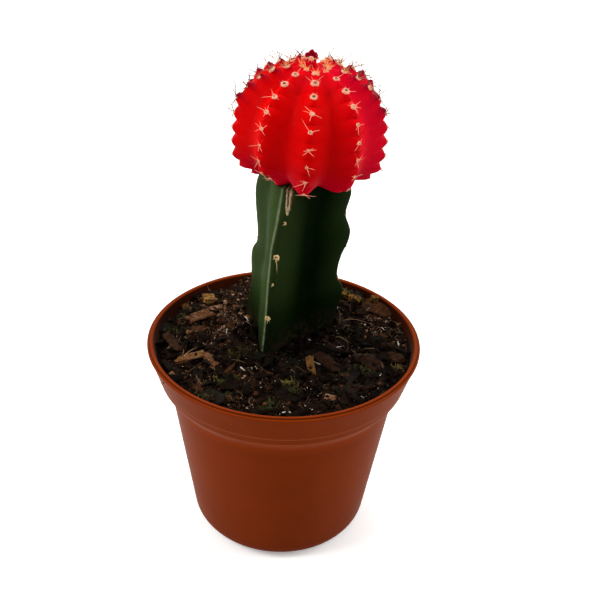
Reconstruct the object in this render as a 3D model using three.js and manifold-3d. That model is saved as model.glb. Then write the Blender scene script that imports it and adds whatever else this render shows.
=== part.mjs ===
// Potted moon cactus: a red ribbed scion grafted on a green three-ribbed rootstock, which stands in a
// plastic nursery pot filled with bark-based soil.
// Millimetres, +Z up, front towards -Y, origin at the centre of the pot's foot.
// An azimuth is counted in degrees from -Y towards +X. A turn of the rib count is one rib spacing.
import * as THREE from 'three';
import { mergeVertices } from 'three/addons/utils/BufferGeometryUtils.js';
import Module from 'manifold-3d';

const wasm = await Module();
wasm.setup();

const { lerp, smoothstep, degToRad, euclideanModulo, clamp, seededRandom } = THREE.MathUtils;

// Clearance between neighbouring pieces
const GAP = 0.3;

// Pot
const RIM_RADIUS = 42.5;
const POT_HEIGHT = 68;
const LIP_INNER_RADIUS = 40.6;
const LIP_OUTER_RADIUS = 41.9;
const LIP_ROUNDING = 0.4;
const FLANGE_TOP_Z = 67.5;
const FLANGE_BOTTOM_Z = 66.9;
const FLANGE_BEVEL = 0.15;
const COLLAR_TOP_RADIUS = 42.1;
const COLLAR_CREASE_RADIUS = 39.7;
const COLLAR_CREASE_Z = 58.6;
const COLLAR_FOOT_RADIUS = 39.0;
const COLLAR_FOOT_Z = 56.3;
const COLLAR_FOOT_BEVEL = 0.4;
const BODY_TOP_RADIUS = 36.4;
const BODY_TOP_Z = 55.7;
const BODY_FOOT_RADIUS = 29.0;
const FOOT_FILLET = 6.4;
const WALL = 1.1;
const LEDGE_Z = 57.2;
const LEDGE_HALF_HEIGHT = 0.8;
const FLOOR_THICKNESS = 1.3;
const FOOT_RING_INNER_RADIUS = 15.4;
const BASE_PANEL_RADIUS = 14.4;
const BASE_PANEL_RISE = 1.5;
const DRAIN_RADIUS = 2.5;
const DRAIN_CENTRE_RADIUS = 3;
const DRAIN_CIRCLE_RADIUS = 9.6;
const DRAIN_COUNT = 6;
const DRAIN_SIDES = 16;
const CHANNEL_WIDTH = 5;
const CHANNEL_DEPTH = 0.8;
const CHANNEL_COUNT = 4;
const POT_SIDES = 48;

// Soil
const SOIL_WALL_Z = 63.9;
const SOIL_REAR_RISE = 1.0;
const SOIL_MOUND_RISE = 1.6;
const SOIL_MOUND_RADIUS = 28;
const SOIL_LUMP = 0.75;
const SOIL_SIDES = 42;
const SOIL_RINGS = 8;

// Bark chips that can be told apart in the surface: place, length, width, thickness, turn and tilts
const NAMED_CHIPS = [
  { x: -27.4, y: 16.6, length: 9.5, width: 4.4, thick: 1.3, turn: -20, pitch: 8, roll: -10 },
  { x: -27.8, y: -5.6, length: 9.5, width: 3.4, thick: 1.4, turn: 20, pitch: -6, roll: 8 },
  { x: -21.8, y: -8.6, length: 6.6, width: 3.4, thick: 1.2, turn: -58, pitch: 14, roll: 10 },
  { x: -25.6, y: 27.0, length: 5.2, width: 4.2, thick: 2.6, turn: -40, pitch: 10, roll: 18 },
  { x: 30.4, y: 22.6, length: 13.5, width: 4.6, thick: 1.5, turn: -35, pitch: 4, roll: 24 },
  { x: 14.5, y: -7.2, length: 9.8, width: 5.6, thick: 1.4, turn: -30, pitch: 6, roll: -10 },
  { x: 8.4, y: -11.4, length: 6.6, width: 2.8, thick: 1.6, turn: -80, pitch: 32, roll: 6 },
  { x: 15.2, y: -22.4, length: 4.8, width: 3.6, thick: 1.2, turn: -30, pitch: 8, roll: -12 },
  { x: 20.2, y: -22.4, length: 9.2, width: 4.2, thick: 1.2, turn: 68, pitch: -8, roll: 10 },
  { x: -33.4, y: 1.6, length: 7.8, width: 3.6, thick: 1.4, turn: -52, pitch: 4, roll: -14 },
  { x: -24.0, y: -23.2, length: 5.2, width: 3.2, thick: 1.2, turn: -26, pitch: 6, roll: 10 },
];
const LOOSE_CHIP_COUNT = 16;

// Rootstock
const STEM_Y = 9;
const STEM_TOP_X = 2.4;
const STEM_LEAN_X = 2.1;
const STEM_LEAN_Z = 64;
const STEM_STRAIGHT_Z = 100;
const GRAFT_Z = 119.1;
const BURIED_Z = 40;
const BURIED_TAPER = 7;
const RIGHT_AZIMUTH = 108;
const LEFT_AZIMUTH = -132;
const CREST_ROUNDING = 6;
const FACE_HOLLOW = 1.3;
const BURIED_SHARE = 0.45;
const SHOULDER_RADIUS = 12.6;
const SHOULDER_SLOPE = 0.56;
const SHOULDER_SHIFT = 1.3;
const SHOULDER_ROUNDING = 0.8;
const STEM_HOLE_CLEARANCE = 0.4;
const STEM_ROWS = 25;

// The front crest turns a little as it climbs, and each crest swells and narrows between its areoles:
// pairs of height and azimuth, then pairs of height and radius
const FRONT_AZIMUTHS = curve([
  [40, -22], [65, -23.3], [80, -26], [95, -24], [103, -21], [111, -17.3], [119.5, -11],
]);
const FRONT_RADII = curve([
  [40, 16.8], [66, 17.2], [78, 16.2], [90, 16.6], [99, 16.1], [108, 16.6], [120, 16.6],
]);
const RIGHT_RADII = curve([
  [40, 16], [66, 16.2], [72, 16.9], [76.5, 17.5], [79, 17], [81.5, 15.2], [85, 14.8], [90, 15.7],
  [95, 17.5], [98.5, 17.8], [101.5, 16.8], [104, 15.9], [107, 16.3], [111, 17.4], [120, 18],
]);
const LEFT_RADII = curve([
  [40, 17.6], [66, 17.7], [70, 17.1], [75, 16.6], [81, 17], [86, 17.5], [89, 16.9], [91, 15.7],
  [93, 15.2], [97, 15.4], [103, 16.2], [109, 16.6], [120, 16.6],
]);

// Areoles of the rootstock: crest, height, offset from the crest in degrees and pad radius
const STEM_AREOLES = [
  { crest: 1, z: 110.2, aside: 5, radius: 0.9 },
  { crest: 1, z: 98.8, aside: 4, radius: 1.1 },
  { crest: 1, z: 89.8, aside: 3, radius: 0.7 },
  { crest: 1, z: 77.7, aside: 2, radius: 1.0 },
  { crest: 2, z: 104.6, aside: 0, radius: 0.9 },
  { crest: 2, z: 93, aside: 0, radius: 0.8 },
  { crest: 2, z: 82.2, aside: 0, radius: 1.0 },
  { crest: 2, z: 70.5, aside: 0, radius: 0.8 },
  { crest: 0, z: 105, aside: 0, radius: 0.8 },
  { crest: 0, z: 92.6, aside: 0, radius: 1.0 },
  { crest: 0, z: 82, aside: 0, radius: 0.8 },
  { crest: 0, z: 73, aside: 0, radius: 0.8 },
];
const STEM_SPINE_LENGTH = 2.6;
const STEM_PAD_HEIGHT = 0.5;

// Scion
const SCION_CENTRE = new THREE.Vector3(5.5, STEM_Y, 133.4);
const SCION_TILT_X = 3.2;
const SCION_TILT_Y = -1.6;
const SCION_RADIUS = 22.3;
const SCION_HALF_HEIGHT = 18.6;
const UPPER_FULLNESS = 2.42;
const LOWER_FULLNESS = 2.7;
const RIB_COUNT = 9;
const RIB_SPACING = 360 / RIB_COUNT;
const FIRST_RIB_AZIMUTH = -1.5;
const RIB_WANDER = 0.9;
const VALLEY_DEPTH = 4.9;
const FLANK_SWELL = 1.3;
const AREOLE_SPACING = 14.2;
const TOOTH_DEPTH = 2.2;
const TOOTH_LEAD = 0.1;
const TOOTH_SHARPNESS = 0.85;
const TOOTH_FADE = 3.6;
const CROWN_DIP = 0.9;
const CROWN_WIDTH = 13;
const AREOLES_PER_RIB = 9;
// Polar angle at which each rib's row of areoles starts, in degrees, from the front rib towards +X
const AREOLE_PHASES = [12.2, 8.1, 3.4, 10.6, 5.2, 11.8, 7.0, 1.8, 4.5];

// Spines and areole pads of the scion
const SPINE_LENGTH = 4.3;
const SPINE_RADIUS = 0.23;
const SPINE_SUNK = 0.7;
const SPINE_ROOT_DEPTH = 0.6;
const PAD_RADIUS = 1.15;
const PAD_HEIGHT = 0.8;
const BUD_HEIGHT = 4.7;
const BUD_RADIUS = 2.1;
const BUD_X = -1.6;
const BUD_Y = 0.6;
const BUD_SUNK = 0.4;

// Colours, roughness and the random draw's seed
const POT_COLOUR = 0x9a4a22;
const SOIL_COLOUR = 0x2a1d14;
const STEM_COLOUR = 0x24401c;
const SCION_COLOUR = 0xd8101a;
const SEED = 4217;

// A smooth curve through hand-set pairs, read by its first value
function curve(pairs) {
  const places = new Float32Array(pairs.map((pair) => pair[0]));
  const values = new Float32Array(pairs.map((pair) => pair[1]));
  const spline = new THREE.CubicInterpolant(places, values, 1);
  return (place) => spline.evaluate(clamp(place, places[0], places[places.length - 1]))[0];
}

// The smaller of two values, rounded where they cross
function smoothMin(a, b, rounding) {
  return (a + b - Math.hypot(a - b, rounding)) / 2;
}

// The level direction of an azimuth
function outward(azimuth) {
  const angle = degToRad(azimuth);
  return new THREE.Vector3(Math.sin(angle), -Math.cos(angle), 0);
}

// A repeatable value from -1 to 1 for a pair of whole numbers
function wander(i, j) {
  const wave = Math.sin(i * 127.1 + j * 311.7 + SEED) * 43758.5453;
  return 2 * (wave - Math.floor(wave)) - 1;
}

function randomBetween(low, high) {
  return lerp(low, high, seededRandom());
}

// A three.js geometry as a solid that can be joined and cut
function solidOf(geometry) {
  const bare = geometry.clone();
  bare.deleteAttribute('normal');
  bare.deleteAttribute('uv');
  const merged = mergeVertices(bare, 1e-4);
  return new wasm.Manifold(new wasm.Mesh({
    numProp: 3,
    vertProperties: new Float32Array(merged.getAttribute('position').array),
    triVerts: new Uint32Array(merged.index.array),
  }));
}

// A closed surface whose rows run from one pole to the other: place gives the point of a column and row
function closedSurface(columns, rows, place) {
  const geometry = new THREE.SphereGeometry(1, columns, rows);
  const position = geometry.getAttribute('position');
  for (let index = 0; index < position.count; index += 1) {
    const column = (index % (columns + 1)) % columns;
    const row = Math.floor(index / (columns + 1));
    const onPole = row === 0 || row === rows;
    const point = place(onPole ? 0 : column, row);
    position.setXYZ(index, point.x, point.y, point.z);
  }
  return geometry;
}

function joinAll(solids) {
  let round = solids;
  while (round.length > 1) {
    const next = [];
    for (let i = 0; i < round.length; i += 2) {
      next.push(i + 1 < round.length ? round[i].add(round[i + 1]) : round[i]);
    }
    round = next;
  }
  return round[0];
}

function namedMesh(name, solid, colour, roughness) {
  const mesh = solid.getMesh();
  const geometry = new THREE.BufferGeometry();
  geometry.setAttribute('position', new THREE.BufferAttribute(mesh.vertProperties, mesh.numProp));
  geometry.setIndex(new THREE.BufferAttribute(mesh.triVerts, 1));
  const material = new THREE.MeshStandardMaterial({ color: colour, roughness, metalness: 0 });
  const made = new THREE.Mesh(geometry, material);
  made.name = name;
  return made;
}

// A tapered three-sided needle from a sunk root to a point
function needle(root, direction, length) {
  const geometry = new THREE.ConeGeometry(SPINE_RADIUS, length + SPINE_SUNK, 3, 1);
  geometry.translate(0, (length - SPINE_SUNK) / 2, 0);
  const turn = new THREE.Quaternion().setFromUnitVectors(new THREE.Vector3(0, 1, 0), direction);
  geometry.applyQuaternion(turn);
  geometry.translate(root.x, root.y, root.z);
  return solidOf(geometry);
}

// A low woolly pad whose flat middle is sunk in what it grows from
function pad(centre, normal, radius, height) {
  const geometry = new THREE.OctahedronGeometry(1, 0);
  geometry.scale(radius, height, radius);
  const turn = new THREE.Quaternion().setFromUnitVectors(new THREE.Vector3(0, 1, 0), normal);
  geometry.applyQuaternion(turn);
  geometry.translate(centre.x, centre.y, centre.z);
  return solidOf(geometry);
}

// Pot: a turned shell with a stepped collar, drain holes and channels under its foot
const collarInnerRise = POT_HEIGHT - LIP_ROUNDING - COLLAR_CREASE_Z;
const collarInnerSlope = (LIP_INNER_RADIUS - COLLAR_CREASE_RADIUS + WALL) / collarInnerRise;
const bodySlope = (BODY_TOP_RADIUS - BODY_FOOT_RADIUS) / (BODY_TOP_Z - FOOT_FILLET);

const ledgeTop = LEDGE_Z + LEDGE_HALF_HEIGHT;
const ledgeFoot = LEDGE_Z - LEDGE_HALF_HEIGHT;

// Inner radius of the pot's wall at a height above its floor fillet
function innerRadius(z) {
  if (z > LEDGE_Z) {
    return COLLAR_CREASE_RADIUS - WALL + collarInnerSlope * (z - COLLAR_CREASE_Z);
  }
  return BODY_FOOT_RADIUS - WALL + bodySlope * (z - FOOT_FILLET);
}

// Points of a quarter round between a level radius and a wall
function filletPoints(centreRadius, centreZ, radius) {
  const points = [];
  for (let step = 0; step <= 3; step += 1) {
    const angle = degToRad(-90 + 30 * step);
    const point = new THREE.Vector2(Math.cos(angle), Math.sin(angle)).multiplyScalar(radius);
    points.push(point.add(new THREE.Vector2(centreRadius, centreZ)));
  }
  return points;
}

function makePot() {
  const filletRadius = BODY_FOOT_RADIUS - FOOT_FILLET;
  const innerFillet = FOOT_FILLET - WALL;
  const profile = [
    new THREE.Vector2(0, BASE_PANEL_RISE),
    new THREE.Vector2(BASE_PANEL_RADIUS, BASE_PANEL_RISE),
    new THREE.Vector2(FOOT_RING_INNER_RADIUS, 0),
    ...filletPoints(filletRadius, FOOT_FILLET, FOOT_FILLET),
    new THREE.Vector2(BODY_TOP_RADIUS, BODY_TOP_Z),
    new THREE.Vector2(COLLAR_FOOT_RADIUS - COLLAR_FOOT_BEVEL, COLLAR_FOOT_Z - COLLAR_FOOT_BEVEL),
    new THREE.Vector2(COLLAR_FOOT_RADIUS, COLLAR_FOOT_Z),
    new THREE.Vector2(COLLAR_CREASE_RADIUS, COLLAR_CREASE_Z),
    new THREE.Vector2(COLLAR_TOP_RADIUS, FLANGE_BOTTOM_Z),
    new THREE.Vector2(RIM_RADIUS, FLANGE_BOTTOM_Z + FLANGE_BEVEL),
    new THREE.Vector2(RIM_RADIUS, FLANGE_TOP_Z),
    new THREE.Vector2(LIP_OUTER_RADIUS, POT_HEIGHT),
    new THREE.Vector2(LIP_INNER_RADIUS + LIP_ROUNDING, POT_HEIGHT),
    new THREE.Vector2(LIP_INNER_RADIUS, POT_HEIGHT - LIP_ROUNDING),
    new THREE.Vector2(innerRadius(ledgeTop), ledgeTop),
    new THREE.Vector2(innerRadius(ledgeFoot), ledgeFoot),
    ...filletPoints(filletRadius, innerFillet + FLOOR_THICKNESS, innerFillet).reverse(),
    new THREE.Vector2(FOOT_RING_INNER_RADIUS, FLOOR_THICKNESS),
    new THREE.Vector2(BASE_PANEL_RADIUS - 1, BASE_PANEL_RISE + FLOOR_THICKNESS),
    new THREE.Vector2(0, BASE_PANEL_RISE + FLOOR_THICKNESS),
  ];
  const lathe = new THREE.LatheGeometry(profile, POT_SIDES);
  lathe.rotateX(Math.PI / 2);
  let pot = solidOf(lathe);
  const drill = (x, y, radius) => {
    const hole = new THREE.CylinderGeometry(radius, radius, 2 * FOOT_FILLET, DRAIN_SIDES);
    hole.rotateX(Math.PI / 2);
    hole.translate(x, y, 0);
    pot = pot.subtract(solidOf(hole));
  };
  drill(0, 0, DRAIN_CENTRE_RADIUS);
  for (let i = 0; i < DRAIN_COUNT; i += 1) {
    const side = outward((360 * i) / DRAIN_COUNT).multiplyScalar(DRAIN_CIRCLE_RADIUS);
    drill(side.x, side.y, DRAIN_RADIUS);
  }
  for (let i = 0; i < CHANNEL_COUNT; i += 1) {
    const length = BODY_FOOT_RADIUS - BASE_PANEL_RADIUS;
    const channel = new THREE.BoxGeometry(CHANNEL_WIDTH, length, 2 * CHANNEL_DEPTH);
    channel.translate(0, (BODY_FOOT_RADIUS + BASE_PANEL_RADIUS) / 2, 0);
    channel.rotateZ(degToRad(45 + (360 * i) / CHANNEL_COUNT));
    pot = pot.subtract(solidOf(channel));
  }
  return namedMesh('pot', pot, POT_COLOUR, 0.42);
}

// Rootstock: a three-cornered column whose corners are the ribs
function stemAxis(z) {
  const below = Math.max(STEM_STRAIGHT_Z - z, 0) / (STEM_STRAIGHT_Z - STEM_LEAN_Z);
  return new THREE.Vector3(STEM_TOP_X - STEM_LEAN_X * below * below, STEM_Y, z);
}

// The three crests at a height, from the left round the front to the right
function crestsAt(z) {
  return [
    { azimuth: LEFT_AZIMUTH, radius: LEFT_RADII(z) },
    { azimuth: FRONT_AZIMUTHS(z), radius: FRONT_RADII(z) },
    { azimuth: RIGHT_AZIMUTH, radius: RIGHT_RADII(z) },
  ];
}

// Section radius between two crests: straight faces that meet in rounded crests, hollowed in the middle
function faceRadius(z, crest, share) {
  const crests = crestsAt(z);
  const from = crests[crest];
  const to = crests[(crest + 1) % 3];
  const span = euclideanModulo(to.azimuth - from.azimuth, 360);
  const halfGap = degToRad(span / 2);
  const nearness = 1 - Math.abs(2 * share - 1);
  const rounding = degToRad(CREST_ROUNDING);
  const away = Math.min(Math.hypot(nearness * halfGap, rounding), halfGap);
  const blend = smoothstep(nearness, 0, 1);
  const radius = lerp(share < 0.5 ? from.radius : to.radius, (from.radius + to.radius) / 2, blend);
  const straight = (radius * Math.cos(halfGap - rounding)) / Math.cos(halfGap - away);
  const azimuth = from.azimuth + span * share;
  const shifted = SHOULDER_RADIUS + SHOULDER_SHIFT * Math.sin(degToRad(azimuth));
  const shoulder = shifted + SHOULDER_SLOPE * (GRAFT_Z - z);
  const section = smoothMin(straight - FACE_HOLLOW * blend, shoulder, SHOULDER_ROUNDING);
  const buried = smoothstep(z, BURIED_Z - 2, BURIED_Z + BURIED_TAPER);
  return { azimuth, radius: section * lerp(BURIED_SHARE, 1, buried) };
}

function stemPoint(z, crest, share, grow) {
  const { azimuth, radius } = faceRadius(z, crest, share);
  return outward(azimuth).multiplyScalar(radius + grow).add(stemAxis(z));
}

// Shares of a face at which the section has its columns, closer together at the crests
const FACE_SHARES = [0, 0.035, 0.09, 0.19, 0.33, 0.5, 0.67, 0.81, 0.91, 0.965];

function stemSurface(grow) {
  const columns = 3 * FACE_SHARES.length;
  return closedSurface(columns, STEM_ROWS + 2, (column, row) => {
    if (row === 0 || row === STEM_ROWS + 2) {
      return stemAxis(row === 0 ? GRAFT_Z : BURIED_Z);
    }
    const z = lerp(GRAFT_Z, BURIED_Z, (row - 1) / STEM_ROWS);
    const crest = Math.floor(column / FACE_SHARES.length);
    return stemPoint(z, crest, FACE_SHARES[column % FACE_SHARES.length], grow);
  });
}

// The point of a crest moved aside by some degrees, with the outward direction there
function besideCrest(crest, z, aside) {
  const crests = crestsAt(z);
  const span = euclideanModulo(crests[(crest + 1) % 3].azimuth - crests[crest].azimuth, 360);
  const point = stemPoint(z, crest, aside / span, 0);
  const normal = point.clone().sub(stemAxis(z)).normalize();
  return { point, normal };
}

function makeRootstock() {
  const grown = [solidOf(stemSurface(0))];
  for (const areole of STEM_AREOLES) {
    const { point, normal } = besideCrest(areole.crest, areole.z, areole.aside);
    grown.push(pad(point, normal, areole.radius, STEM_PAD_HEIGHT));
    const level = new THREE.Vector3(-normal.y, normal.x, 0);
    for (const side of [-0.5, 0.35]) {
      const direction = normal.clone().multiplyScalar(0.55).addScaledVector(level, side);
      direction.z = -0.75;
      grown.push(needle(point, direction.normalize(), STEM_SPINE_LENGTH * randomBetween(0.7, 1.1)));
    }
  }
  return namedMesh('rootstock', joinAll(grown), STEM_COLOUR, 0.4);
}

// Soil: a settled plug with a lumpy, slightly mounded top, bark chips and a blind hole for the stem
function soilHeight(x, y) {
  const fromStem = Math.hypot(x - stemAxis(SOIL_WALL_Z).x, y - STEM_Y);
  const mound = 1 - smoothstep(fromStem, 8, SOIL_MOUND_RADIUS);
  const rear = clamp(y / RIM_RADIUS, -0.4, 1);
  return SOIL_WALL_Z + SOIL_REAR_RISE * rear + SOIL_MOUND_RISE * mound;
}

function soilBody() {
  const wallRadius = (z) => innerRadius(z) * Math.cos(Math.PI / POT_SIDES) - GAP;
  const ringZ = FLOOR_THICKNESS + GAP;
  const panelZ = ringZ + BASE_PANEL_RISE;
  const side = [
    { radius: wallRadius(ledgeTop), z: ledgeTop + GAP },
    { radius: wallRadius(ledgeFoot), z: ledgeFoot + GAP },
    { radius: wallRadius(FOOT_FILLET + 2), z: FOOT_FILLET + 2 },
    { radius: BODY_FOOT_RADIUS - FOOT_FILLET, z: ringZ },
    { radius: FOOT_RING_INNER_RADIUS, z: ringZ },
    { radius: BASE_PANEL_RADIUS - 1, z: panelZ },
  ];
  const rows = SOIL_RINGS + side.length + 1;
  return closedSurface(SOIL_SIDES, rows, (column, row) => {
    const azimuth = (360 * column) / SOIL_SIDES;
    if (row === rows) {
      return new THREE.Vector3(0, 0, panelZ);
    }
    if (row > SOIL_RINGS) {
      const ring = side[row - SOIL_RINGS - 1];
      return outward(azimuth).multiplyScalar(ring.radius).setZ(ring.z);
    }
    const point = outward(azimuth).multiplyScalar((wallRadius(SOIL_WALL_Z) * row) / SOIL_RINGS);
    const lump = SOIL_LUMP * wander(column, row) * smoothstep(row, 0, 4);
    const height = soilHeight(point.x, point.y) + (row === SOIL_RINGS ? -Math.abs(lump) : lump);
    return row === SOIL_RINGS ? point.setLength(wallRadius(height)).setZ(height) : point.setZ(height);
  });
}

// A flat flake of bark with uneven corners
function chipSolid({ x, y, length, width, thick, turn, pitch, roll }) {
  const geometry = new THREE.BoxGeometry(length, width, thick);
  const position = geometry.getAttribute('position');
  for (let index = 0; index < position.count; index += 1) {
    const corner = new THREE.Vector3().fromBufferAttribute(position, index);
    const which = (corner.x > 0 ? 1 : 0) + (corner.y > 0 ? 2 : 0);
    const trim = 0.78 + 0.22 * wander(Math.round(10 * length) + which, Math.round(10 * width));
    position.setXYZ(index, corner.x * trim, corner.y * trim, corner.z);
  }
  geometry.rotateX(degToRad(roll));
  geometry.rotateY(degToRad(pitch));
  geometry.rotateZ(degToRad(turn));
  geometry.translate(x, y, soilHeight(x, y) + 0.35 * thick);
  return solidOf(geometry);
}

function looseChips() {
  const chips = [];
  while (chips.length < LOOSE_CHIP_COUNT) {
    const place = outward(randomBetween(0, 360)).multiplyScalar(36 * Math.sqrt(randomBetween(0.1, 0.86)));
    const clearOfStem = Math.hypot(place.x, place.y - STEM_Y) > 21;
    const length = randomBetween(3.6, 7);
    const chip = {
      x: place.x,
      y: place.y,
      length,
      width: length * randomBetween(0.4, 0.65),
      thick: randomBetween(1, 1.6),
      turn: randomBetween(0, 360),
      pitch: randomBetween(-16, 16),
      roll: randomBetween(-16, 16),
    };
    if (clearOfStem) {
      chips.push(chip);
    }
  }
  return chips;
}

// The room inside the collar, which trims the chips that lie against the wall
function collarRoom() {
  const profile = [
    new THREE.Vector2(0, LEDGE_Z + 1),
    new THREE.Vector2(innerRadius(LEDGE_Z + 1) - GAP, LEDGE_Z + 1),
    new THREE.Vector2(innerRadius(POT_HEIGHT) - GAP, POT_HEIGHT),
    new THREE.Vector2(0, POT_HEIGHT),
  ];
  const lathe = new THREE.LatheGeometry(profile, POT_SIDES);
  lathe.rotateX(Math.PI / 2);
  return solidOf(lathe);
}

function makeSoil() {
  const chips = [...NAMED_CHIPS, ...looseChips()].map(chipSolid);
  const lumps = [solidOf(soilBody()), joinAll(chips).intersect(collarRoom())];
  const stemHole = stemSurface(STEM_HOLE_CLEARANCE);
  stemHole.translate(0, 0, -GAP);
  return namedMesh('soil', joinAll(lumps).subtract(solidOf(stemHole)), SOIL_COLOUR, 0.95);
}

// Scion: nine ribs on a flattened globe, cut in rounded teeth, with an areole above each tooth
const scionTurn = (() => {
  const leanX = Math.tan(degToRad(SCION_TILT_X));
  const leanY = Math.tan(degToRad(SCION_TILT_Y));
  const axis = new THREE.Vector3(leanX, leanY, 1).normalize();
  const side = new THREE.Vector3(1, 0, 0).addScaledVector(axis, -axis.x).normalize();
  const back = axis.clone().cross(side);
  return new THREE.Matrix4().makeBasis(side, back, axis).setPosition(SCION_CENTRE);
})();

function ribAzimuth(rib) {
  const index = euclideanModulo(rib, RIB_COUNT);
  const seen = index === 0 || index === 1 || index === RIB_COUNT - 1;
  return FIRST_RIB_AZIMUTH + RIB_SPACING * rib + (seen ? 0 : RIB_WANDER * wander(index, 5));
}

function areolePhase(rib) {
  return AREOLE_PHASES[euclideanModulo(rib, RIB_COUNT)];
}

// The scion's surface in its own frame. Turn counts ribs round the axis, whole at a crest and half in a
// valley, and step counts areoles down a rib.
function scionSurface(turn, step) {
  const rib = Math.floor(turn);
  const share = turn - rib;
  const azimuth = lerp(ribAzimuth(rib), ribAzimuth(rib + 1), share);
  const phase = lerp(areolePhase(rib), areolePhase(rib + 1), smoothstep(share, 0, 1));
  const polar = degToRad(clamp(phase + AREOLE_SPACING * step, 0, 180));
  const flank = 1 - Math.abs(2 * share - 1);
  const tooth = Math.abs(Math.cos(Math.PI * (step - TOOTH_LEAD))) ** TOOTH_SHARPNESS;
  const ripe = smoothstep(polar, degToRad(9), degToRad(34));
  const uneven = 1 + 0.18 * wander(Math.round(turn), Math.round(step - TOOTH_LEAD));
  const notch = TOOTH_DEPTH * uneven * ripe * (1 - tooth) * (1 - flank) ** TOOTH_FADE;
  const valley = VALLEY_DEPTH * flank ** FLANK_SWELL * smoothstep(polar, 0, degToRad(38));
  const dip = CROWN_DIP * Math.exp(-((polar / degToRad(CROWN_WIDTH)) ** 2));
  const fullness = polar < Math.PI / 2 ? UPPER_FULLNESS : LOWER_FULLNESS;
  const height = Math.sign(Math.cos(polar)) * Math.abs(Math.cos(polar)) ** (2 / fullness);
  const level = outward(azimuth).multiplyScalar(SCION_RADIUS * Math.sin(polar) ** (2 / fullness));
  const point = level.setZ(SCION_HALF_HEIGHT * height);
  const reach = point.length();
  return point.multiplyScalar((reach - notch - valley - dip) / reach);
}

function scionPoint(turn, step) {
  return scionSurface(turn, step).applyMatrix4(scionTurn);
}

// Columns round one rib, and rows down one tooth
const RIB_SHARES = [0, 0.17, 0.34, 0.5, 0.66, 0.83];
const TOOTH_STEPS = [TOOTH_LEAD - 0.24, TOOTH_LEAD, TOOTH_LEAD + 0.24, TOOTH_LEAD + 0.5];

function scionBody() {
  const steps = [-0.05];
  for (let areole = 1; areole <= AREOLES_PER_RIB; areole += 1) {
    steps.push(...TOOTH_STEPS.map((part) => areole + part));
  }
  steps.push(AREOLES_PER_RIB + 1.4);
  const rows = steps.length + 1;
  return closedSurface(RIB_COUNT * RIB_SHARES.length, rows, (column, row) => {
    if (row === 0 || row === rows) {
      const height = SCION_HALF_HEIGHT - CROWN_DIP;
      return new THREE.Vector3(0, 0, row === 0 ? height : -height).applyMatrix4(scionTurn);
    }
    const rib = Math.floor(column / RIB_SHARES.length);
    return scionPoint(rib + RIB_SHARES[column % RIB_SHARES.length], steps[row - 1]);
  });
}

// Spines of an areole: where each is rooted beside it, and its level, downward and outward lean
const SPINE_FANS = [
  { turn: -0.045, step: 0, level: -0.9, down: -0.15, out: 0.55 },
  { turn: 0.045, step: 0, level: 0.9, down: -0.05, out: 0.55 },
  { turn: 0, step: 0.13, level: -0.1, down: 0.75, out: 0.65 },
];

function scionSpines(rib, areole) {
  const root = scionPoint(rib, areole);
  const out = root.clone().sub(SCION_CENTRE).normalize();
  const down = scionPoint(rib, areole + 0.3).sub(scionPoint(rib, areole - 0.3)).normalize();
  const level = down.clone().cross(out).normalize();
  const low = root.z < SCION_CENTRE.z - 0.62 * SCION_HALF_HEIGHT;
  const upper = root.z > SCION_CENTRE.z + 0.35 * SCION_HALF_HEIGHT;
  const made = upper ? [pad(root, out, PAD_RADIUS, PAD_HEIGHT)] : [];
  const fans = (rib + areole) % 2 === 0 ? SPINE_FANS : SPINE_FANS.slice(0, 2);
  for (const fan of fans) {
    const foot = scionPoint(rib + fan.turn, areole + fan.step).addScaledVector(out, -SPINE_ROOT_DEPTH);
    const direction = out.clone().multiplyScalar(fan.out)
      .addScaledVector(level, fan.level + 0.25 * randomBetween(-1, 1))
      .addScaledVector(down, fan.down + 0.25 * randomBetween(-1, 1));
    const length = SPINE_LENGTH * randomBetween(0.75, 1.2);
    if (low) {
      direction.z = Math.max(direction.z, 0.05);
    }
    made.push(needle(foot, direction.normalize(), length));
  }
  return made;
}

// The young bud that stands at the growing point, with its crimson tip
function crownBud() {
  const footZ = SCION_HALF_HEIGHT - CROWN_DIP - BUD_SUNK;
  const profile = [
    new THREE.Vector2(0, 0),
    new THREE.Vector2(BUD_RADIUS, 0),
    new THREE.Vector2(BUD_RADIUS * 0.95, BUD_HEIGHT * 0.42),
    new THREE.Vector2(BUD_RADIUS * 0.6, BUD_HEIGHT * 0.56),
    new THREE.Vector2(BUD_RADIUS * 0.72, BUD_HEIGHT * 0.74),
    new THREE.Vector2(BUD_RADIUS * 0.4, BUD_HEIGHT * 0.94),
    new THREE.Vector2(0, BUD_HEIGHT * 1.12),
  ];
  const lathe = new THREE.LatheGeometry(profile, 8);
  lathe.rotateX(Math.PI / 2);
  lathe.translate(BUD_X, BUD_Y, footZ);
  lathe.applyMatrix4(scionTurn);
  return solidOf(lathe);
}

function crownSpines() {
  const made = [];
  for (let rib = 0; rib < RIB_COUNT; rib += 1) {
    const root = scionPoint(rib, (14 - areolePhase(rib)) / AREOLE_SPACING);
    const lean = outward(ribAzimuth(rib) + 25 * wander(rib, 3)).multiplyScalar(0.55);
    made.push(needle(root, lean.setZ(1).normalize(), SPINE_LENGTH * randomBetween(0.7, 1)));
  }
  return made;
}

function makeScion() {
  const grown = [solidOf(scionBody()), crownBud(), ...crownSpines()];
  for (let rib = 0; rib < RIB_COUNT; rib += 1) {
    for (let areole = 0; areole <= AREOLES_PER_RIB; areole += 1) {
      const belowCrown = areolePhase(rib) + AREOLE_SPACING * areole > CROWN_WIDTH + 2;
      const aboveGraft = scionPoint(rib, areole).z > GRAFT_Z + 1.2;
      if (belowCrown && aboveGraft) {
        grown.push(...scionSpines(rib, areole));
      }
    }
  }
  const below = new THREE.BoxGeometry(80, 80, 40);
  below.translate(SCION_CENTRE.x, SCION_CENTRE.y, GRAFT_Z + GAP - 20);
  return namedMesh('scion', joinAll(grown).subtract(solidOf(below)), SCION_COLOUR, 0.38);
}

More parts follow.
